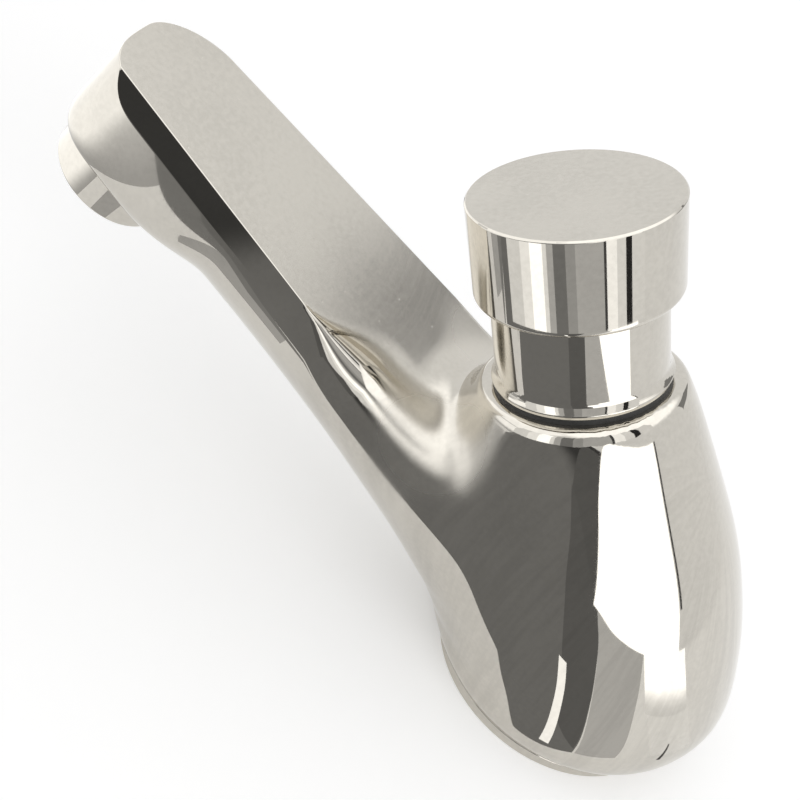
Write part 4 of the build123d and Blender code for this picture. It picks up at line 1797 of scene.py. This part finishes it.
class Finishes:
    """All finishes of the tap, built once each."""

    def __init__(self, shape: TapShape) -> None:
        """Builds the materials.

        Args:
            shape: The casting's shape, which holds the directions of its axes.
        """
        effects = EffectGroups()
        push_axis = tuple(along_up(*shape.push_up))
        spout_axis = tuple(along_up(*shape.spout_up))
        casting = PolishedChrome(
            "casting_chrome",
            flat_up=spout_axis,
            flat_along=tuple(along_up(*shape.spout_back)),
            flat_limit=-0.03,
            soft_place=(0.0185, -0.049, 0.05),
            stroke=0.35,
        )
        turned = PolishedChrome("turned_chrome", wave=0.000004, wave_size=90.0)
        brass = TurnedMetal("turned_brass", (0.62, 0.43, 0.17), (0.45, 0.30, 0.12), 0.22, push_axis)
        rod = TurnedMetal("drawn_steel", (0.56, 0.56, 0.57), (0.42, 0.42, 0.43), 0.2, push_axis)
        mesh = TurnedMetal("pierced_steel", (0.52, 0.52, 0.53), (0.36, 0.36, 0.37), 0.3, spout_axis)
        rubber = Moulded("black_rubber", (0.012, 0.012, 0.012), (0.03, 0.03, 0.029), 0.55)
        plastic = Moulded("grey_acetal", (0.34, 0.345, 0.35), (0.42, 0.425, 0.43), 0.38, 0.004)
        finishes = (casting, turned, brass, rod, mesh, rubber, plastic)
        self.made = {slot: finish.material(effects) for slot, finish in zip(Slot, finishes)}
        cap = PolishedChrome(
            "cap_chrome",
            wave=0.000004,
            wave_size=90.0,
            flat_up=push_axis,
            flat_along=tuple(along_up(*shape.push_forward)),
            flat_limit=1.0,
            flat_roughness=0.24,
            bend=0.0,
        )
        self.cap = cap.material(effects)

    @staticmethod
    def dress(piece: bpy.types.Object, material: bpy.types.Material) -> None:
        """Gives a piece one material."""
        piece.data.materials.clear()
        piece.data.materials.append(material)


@dataclass(frozen=True)
class Fade:
    """A card's tone that changes along a direction, from a first tone to the card's own."""

    way: tuple[float, float, float]
    start: float
    end: float
    first: float


@dataclass(frozen=True)
class Card:
    """A bright or dark card that the chrome mirrors, spread over a part of the room round the tap."""

    name: str
    turn: tuple[float, float]
    rise: tuple[float, float]
    tone: float
    distance: float
    fade: Fade | None = None


@dataclass(frozen=True)
class FloorCard:
    """A flat card on the table, given by its corners seen from above."""

    name: str
    corners: tuple[tuple[float, float], ...]
    tone: float
    height: float = 0.0004
    fade: Fade | None = None


@dataclass(frozen=True)
class Strip:
    """A strip of the sleeve that stands round the cap's axis, between two turns about it."""

    name: str
    turn: tuple[float, float]
    tone: float


@dataclass(frozen=True)
class Lamp:
    """A soft square lamp that no mirror shows."""

    name: str
    place: tuple[float, float, float]
    size: float
    power: float

    def build(self, aim: tuple[float, float, float]) -> None:
        """Hangs the lamp.

        Args:
            aim: What it points at.
        """
        data = bpy.data.lights.new(self.name, "AREA")
        data.size = self.size
        data.energy = self.power
        lamp = new_piece(self.name, data)
        lamp.location = self.place
        lamp.rotation_mode = "QUATERNION"
        lamp.rotation_quaternion = (Vector(aim) - Vector(self.place)).to_track_quat("-Z", "Y")
        lamp.visible_glossy = False


@dataclass
class Studio:
    """The plain pale floor, the cards and the lamp, with lengths in metres and turns in degrees."""

    centre: tuple[float, float, float] = (0.0, -0.055, 0.05)
    floor_colour: tuple[float, float, float] = (0.9, 0.9, 0.9)
    floor_lift: float = 0.22
    floor_rings: tuple[float, ...] = (0.1, 0.3, 1.0, 6.0)
    floor_sides: int = 96
    daylight: float = 0.85
    top_light: float = 1.8
    top_span: tuple[float, float] = (0.62, 0.8)
    card_grid: tuple[int, int] = (13, 9)
    cards: tuple[Card, ...] = (
        Card("dark_card", (-33, 28), (-2, 19), 0.06, 2.6, Fade((0.0, 0.0, 1.0), 0.0, 0.42, 0.21)),
        Card("dark_edge", (8, 28), (-2, 17), 0.14, 2.5),
        Card("softbox_face", (29, 82), (-5, 28), 2.3, 0.7),
        Card("front_glow", (-125, -45), (2, 45), 1.6, 2.0),
        Card("box_edge", (82.6, 84), (6, 28), 0.06, 0.6),
        Card("back_shade", (132, 161.5), (14, 34), 0.3, 2.0),
    )
    sleeve_radius: float = 0.05
    sleeve_span: tuple[float, float] = (-0.0365, -0.01)
    strip_columns: int = 7
    strips: tuple[Strip, ...] = (
        Strip("cap_pale_left", (-44, -31), 1.04),
        Strip("cap_rise", (-31, -22), 1.35),
        Strip("cap_glow", (-22, -11), 2.0),
        Strip("cap_fall", (-11, -7.5), 1.2),
        Strip("cap_edge", (-7.5, -2), 0.62),
        Strip("cap_dark", (-2, 8), 0.24),
        Strip("cap_dim", (8, 16), 0.46),
        Strip("cap_grey", (16, 39), 0.62),
        Strip("cap_line_middle", (39, 41.2), 0.08),
        Strip("cap_bright", (41.2, 50), 1.5),
        Strip("cap_pale_right", (50, 58), 1.1),
        Strip("cap_line_right", (58, 63.5), 0.03),
        Strip("cap_light_right", (63.5, 76), 1.05),
    )
    floor_cards: tuple[FloorCard, ...] = (
        FloorCard(
            "table_flag",
            (
                (0.036, 0.014),
                (0.034, -0.004),
                (0.041, -0.022),
                (0.042, -0.045),
                (0.044, -0.075),
                (0.060, -0.112),
                (0.098, -0.148),
                (0.27, -0.29),
                (2.4, -1.70),
                (3.0, 0.0),
                (2.6, 1.38),
            ),
            0.22,
        ),
        FloorCard("flag_edge", ((0.038, 0.0145), (0.05, 0.006), (2.9, 0.3), (2.6, 1.38)), 0.15, 0.0007),
        FloorCard(
            "table_gap",
            ((0.036, 0.0032), (0.092, 0.0078), (0.092, 0.0148), (0.036, 0.0062)),
            1.6,
            height=0.001,
        ),
        FloorCard("table_shade", ((0.036, 0.0148), (1.9, 1.0), (0.5, 0.79), (0.034, 0.03)), 0.64),
        FloorCard("table_glow", ((0.026, 0.045), (0.5, 0.79), (0.06, 0.95), (0.006, 0.055)), 1.1),
        FloorCard(
            "table_shine",
            ((0.055, 0.085), (0.5, 0.79), (0.06, 0.95), (0.012, 0.11)),
            2.2,
            height=0.0007,
            fade=Fade((0.43, 0.9, 0.0), 0.1, 0.2, 1.0),
        ),
        FloorCard(
            "flank_dim",
            (
                (0.034, -0.1),
                (0.048, -0.1),
                (0.0595, -0.1125),
                (0.068, -0.128),
                (0.054, -0.132),
                (0.035, -0.126),
            ),
            0.52,
            height=0.0003,
        ),
        FloorCard(
            "flank_mid",
            (
                (0.044, -0.085),
                (0.0605, -0.111),
                (0.1, -0.147),
                (0.27, -0.285),
                (0.26, -0.33),
                (0.103, -0.166),
                (0.066, -0.128),
                (0.052, -0.116),
            ),
            0.28,
            height=0.0006,
        ),
        FloorCard(
            "base_line",
            ((0.019, 0.04), (0.0206, 0.04), (0.0215, 0.06), (0.0206, 0.06)),
            0.12,
            height=0.0012,
        ),
        FloorCard(
            "tip_glow",
            ((-0.4, -0.165), (0.16, -0.165), (0.9, -0.9), (-0.6, -0.9)),
            1.6,
            height=0.0003,
            fade=Fade((0.0, -1.0, 0.0), 0.165, 0.23, 0.55),
        ),
    )
    lamp: Lamp = Lamp("side_lamp", (0.5, 0.7, 0.55), 0.5, 1.5)

    def _floor(self) -> bpy.types.Object:
        """Makes the round pale floor.

        Returns:
            The floor.
        """
        count = self.floor_sides
        angles = np.linspace(0, 2 * math.pi, count, endpoint=False)
        ring = np.column_stack([np.cos(angles), np.sin(angles), np.zeros(count)])
        points = np.concatenate([np.zeros((1, 3)), *(reach * ring for reach in self.floor_rings)])
        faces = []
        for i in range(count):
            j = (i + 1) % count
            faces.append((0, 1 + i, 1 + j))
            for before in range(1, 1 + (len(self.floor_rings) - 1) * count, count):
                faces.append((before + i, before + count + i, before + count + j, before + j))
        floor = new_sheet("floor", points, faces)
        material = bpy.data.materials.new("pale_floor")
        tree = clear_nodes(material)
        seen, _ = tree.seen()
        plain = tree.add("ShaderNodeBsdfDiffuse", {"Color": (*self.floor_colour, 1.0)})
        lift = tree.add("ShaderNodeEmission", {"Strength": tree.math("MULTIPLY", seen, self.floor_lift)})
        both = tree.add("ShaderNodeAddShader", {0: plain.outputs[0], 1: lift.outputs[0]})
        tree.add("ShaderNodeOutputMaterial", {"Surface": both.outputs[0]})
        floor.data.materials.append(material)
        return floor

    def _room(self) -> None:
        """Makes the white room: plain daylight on the object, white where it is seen or mirrored."""
        world = bpy.data.worlds.new("white_room")
        tree = clear_nodes(world)
        seen, mirrored = tree.seen()
        way = tree.add("ShaderNodeTexCoord").outputs["Generated"]
        height = tree.measure("DOT_PRODUCT", way, (0.0, 0.0, 1.0))
        top = tree.math("MULTIPLY", tree.spread(height, *self.top_span), mirrored)
        level = tree.spread(seen, 0.0, 1.0, self.daylight, 1.0)
        level = tree.math("MULTIPLY_ADD", top, self.top_light - 1.0, level)
        room = tree.add("ShaderNodeBackground", {"Color": WHITE, "Strength": level})
        tree.add("ShaderNodeOutputWorld", {"Surface": room.outputs[0]})
        bpy.context.scene.world = world

    @staticmethod
    def _only_mirrored(card: bpy.types.Object, tone: float, fade: Fade | None = None) -> None:
        """Makes a card that only mirrors show.

        Args:
            card: The card.
            tone: Its brightness, 1 is white.
            fade: How its tone grows, if it does.
        """
        material = bpy.data.materials.new(card.name)
        tree = clear_nodes(material)
        level: object = tone
        if fade:
            way = tree.measure("DOT_PRODUCT", tree.place(), fade.way)
            level = tree.spread(way, fade.start, fade.end, fade.first, tone)
        glow = tree.add("ShaderNodeEmission", {"Color": WHITE, "Strength": level})
        tree.add("ShaderNodeOutputMaterial", {"Surface": glow.outputs[0]})
        card.data.materials.append(material)
        card.visible_camera = False
        card.visible_diffuse = False
        card.visible_shadow = False
        card.visible_transmission = False

    @staticmethod
    def _grid(name: str, places: Array) -> bpy.types.Object:
        """Makes a sheet over a grid of points.

        Args:
            name: Name of the sheet.
            places: Rows by columns of points.

        Returns:
            The sheet.
        """
        rows, columns = places.shape[:2]
        faces = [
            (i * columns + j, i * columns + j + 1, (i + 1) * columns + j + 1, (i + 1) * columns + j)
            for i in range(rows - 1)
            for j in range(columns - 1)
        ]
        return new_sheet(name, places.reshape(-1, 3), faces)

    def _hang(self, card: Card) -> None:
        """Hangs a card in the room.

        Args:
            card: The card.
        """
        columns, rows = self.card_grid
        turns = np.radians(np.linspace(*card.turn, columns))
        rises = np.radians(np.linspace(*card.rise, rows))
        turn, rise = np.meshgrid(turns, rises, indexing="ij")
        flat = np.cos(rise) * card.distance
        places = [np.cos(turn) * flat, np.sin(turn) * flat, np.sin(rise) * card.distance]
        sheet = self._grid(card.name, np.stack(places, -1) + np.array(self.centre))
        self._only_mirrored(sheet, card.tone, card.fade)

    def _wrap(self, strip: Strip, shape: TapShape) -> None:
        """Stands a strip of the sleeve round the cap's axis.

        Args:
            strip: The strip.
            shape: The casting's shape, which holds the axis.
        """
        origin = np.array(along_up(*shape.cap_top)) * MM
        upward = np.array(along_up(*shape.push_up))
        rear = -np.array(along_up(*shape.push_forward))
        rows = []
        for turn in np.radians(np.linspace(*strip.turn, self.strip_columns)):
            spoke = np.array((math.cos(turn), 0.0, 0.0)) + math.sin(turn) * rear
            foot = origin + self.sleeve_radius * spoke
            rows.append([foot + height * upward for height in self.sleeve_span])
        self._only_mirrored(self._grid(strip.name, np.array(rows)), strip.tone)

    def _lay(self, card: FloorCard) -> None:
        """Lays a card on the table.

        Args:
            card: The card.
        """
        places = np.array([(x, y, card.height) for x, y in card.corners])
        sheet = new_sheet(card.name, places, [tuple(range(len(places)))])
        self._only_mirrored(sheet, card.tone, card.fade)

    def build(self, shape: TapShape) -> None:
        """Sets up the room, the floor, the cards and the lamp.

        Args:
            shape: The casting's shape, which holds the cap's axis.
        """
        self._room()
        self._floor()
        for card in self.cards:
            self._hang(card)
        for strip in self.strips:
            self._wrap(strip, shape)
        for card in self.floor_cards:
            self._lay(card)
        self.lamp.build(self.centre)


@dataclass(frozen=True)
class Camera:
    """The camera at the photograph's viewing angle."""

    place: tuple[float, float, float] = (0.22013, -0.04401, 0.22768)
    right: tuple[float, float, float] = (-0.39312, 0.83375, 0.38772)
    up: tuple[float, float, float] = (-0.52186, -0.54949, 0.65248)
    back: tuple[float, float, float] = (0.75705, 0.05417, 0.65111)
    lens: float = 63.0
    sensor: float = 36.0
    sight: tuple[float, float] = (0.01, 50.0)

    def build(self) -> None:
        """Makes the camera and hands it to the scene."""
        data = bpy.data.cameras.new("camera")
        data.lens = self.lens
        data.sensor_width = self.sensor
        data.clip_start, data.clip_end = self.sight
        camera = new_piece("camera", data)
        matrix = Matrix((self.right, self.up, self.back)).transposed().to_4x4()
        matrix.translation = Vector(self.place)
        camera.matrix_world = matrix
        bpy.context.scene.camera = camera


@dataclass
class Casting:
    """The polished casting that stands for the body's CAD node."""

    shape: TapShape

    def build(self) -> bpy.types.Object:
        """Makes the casting's piece.

        Returns:
            The casting.
        """
        piece = CastingMesh(self.shape).build("tap_casting")
        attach(piece, TAP_BODY)
        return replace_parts(piece, "body")


@dataclass
class InnerParts:
    """The CAD nodes, each with the finish of its material."""

    nodes: dict
    dressed: dict = field(
        default_factory=lambda: {
            Slot.BRASS: (
                "inlet_bush",
                "cartridge_barrel",
                "gland_nut",
                "cap_hub",
                "valve_disc",
                "valve_nut",
            ),
            Slot.ROD: ("stem", "stem_clips", "bleed_pin", "return_spring"),
            Slot.MESH: ("inlet_strainer", "aerator_screen"),
            Slot.RUBBER: (
                "base_gasket",
                "upper_barrel_ring",
                "lower_barrel_ring",
                "stem_seal",
                "cup_seal",
                "valve_washer",
                "collar_seal",
                "aerator_washer",
            ),
            Slot.PLASTIC: ("piston", "aerator_insert"),
            Slot.CASTING: ("body",),
            Slot.TURNED: ("push_cap", "collar", "base_ring", "aerator_housing"),
        }
    )

    def build(self, finishes: Finishes) -> None:
        """Dresses the CAD nodes.

        Args:
            finishes: The tap's finishes.
        """
        for slot, names in self.dressed.items():
            for name in names:
                finishes.dress(self.nodes[name], finishes.made[slot])
                LOG.info("%s: %s", name, slot.value)


def main() -> None:
    """Builds the tap's looks round its CAD frame."""
    logging.basicConfig(level=logging.INFO, format="%(name)s %(message)s")
    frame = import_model()
    shape = TapShape()
    finishes = Finishes(shape)
    InnerParts(frame["nodes"]).build(finishes)
    finishes.dress(Casting(shape).build(), finishes.made[Slot.CASTING])
    finishes.dress(PushCap().build(shape), finishes.cap)
    for piece in (Collar().build(shape), BaseRing().build(), OutletShell().build(shape)):
        finishes.dress(piece, finishes.made[Slot.TURNED])
    finishes.dress(ReturnSpring().build(shape), finishes.made[Slot.ROD])
    Studio().build(shape)
    Camera().build()
    bpy.context.scene.view_settings.view_transform = "Standard"
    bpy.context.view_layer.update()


if __name__ == "__main__":
    main()
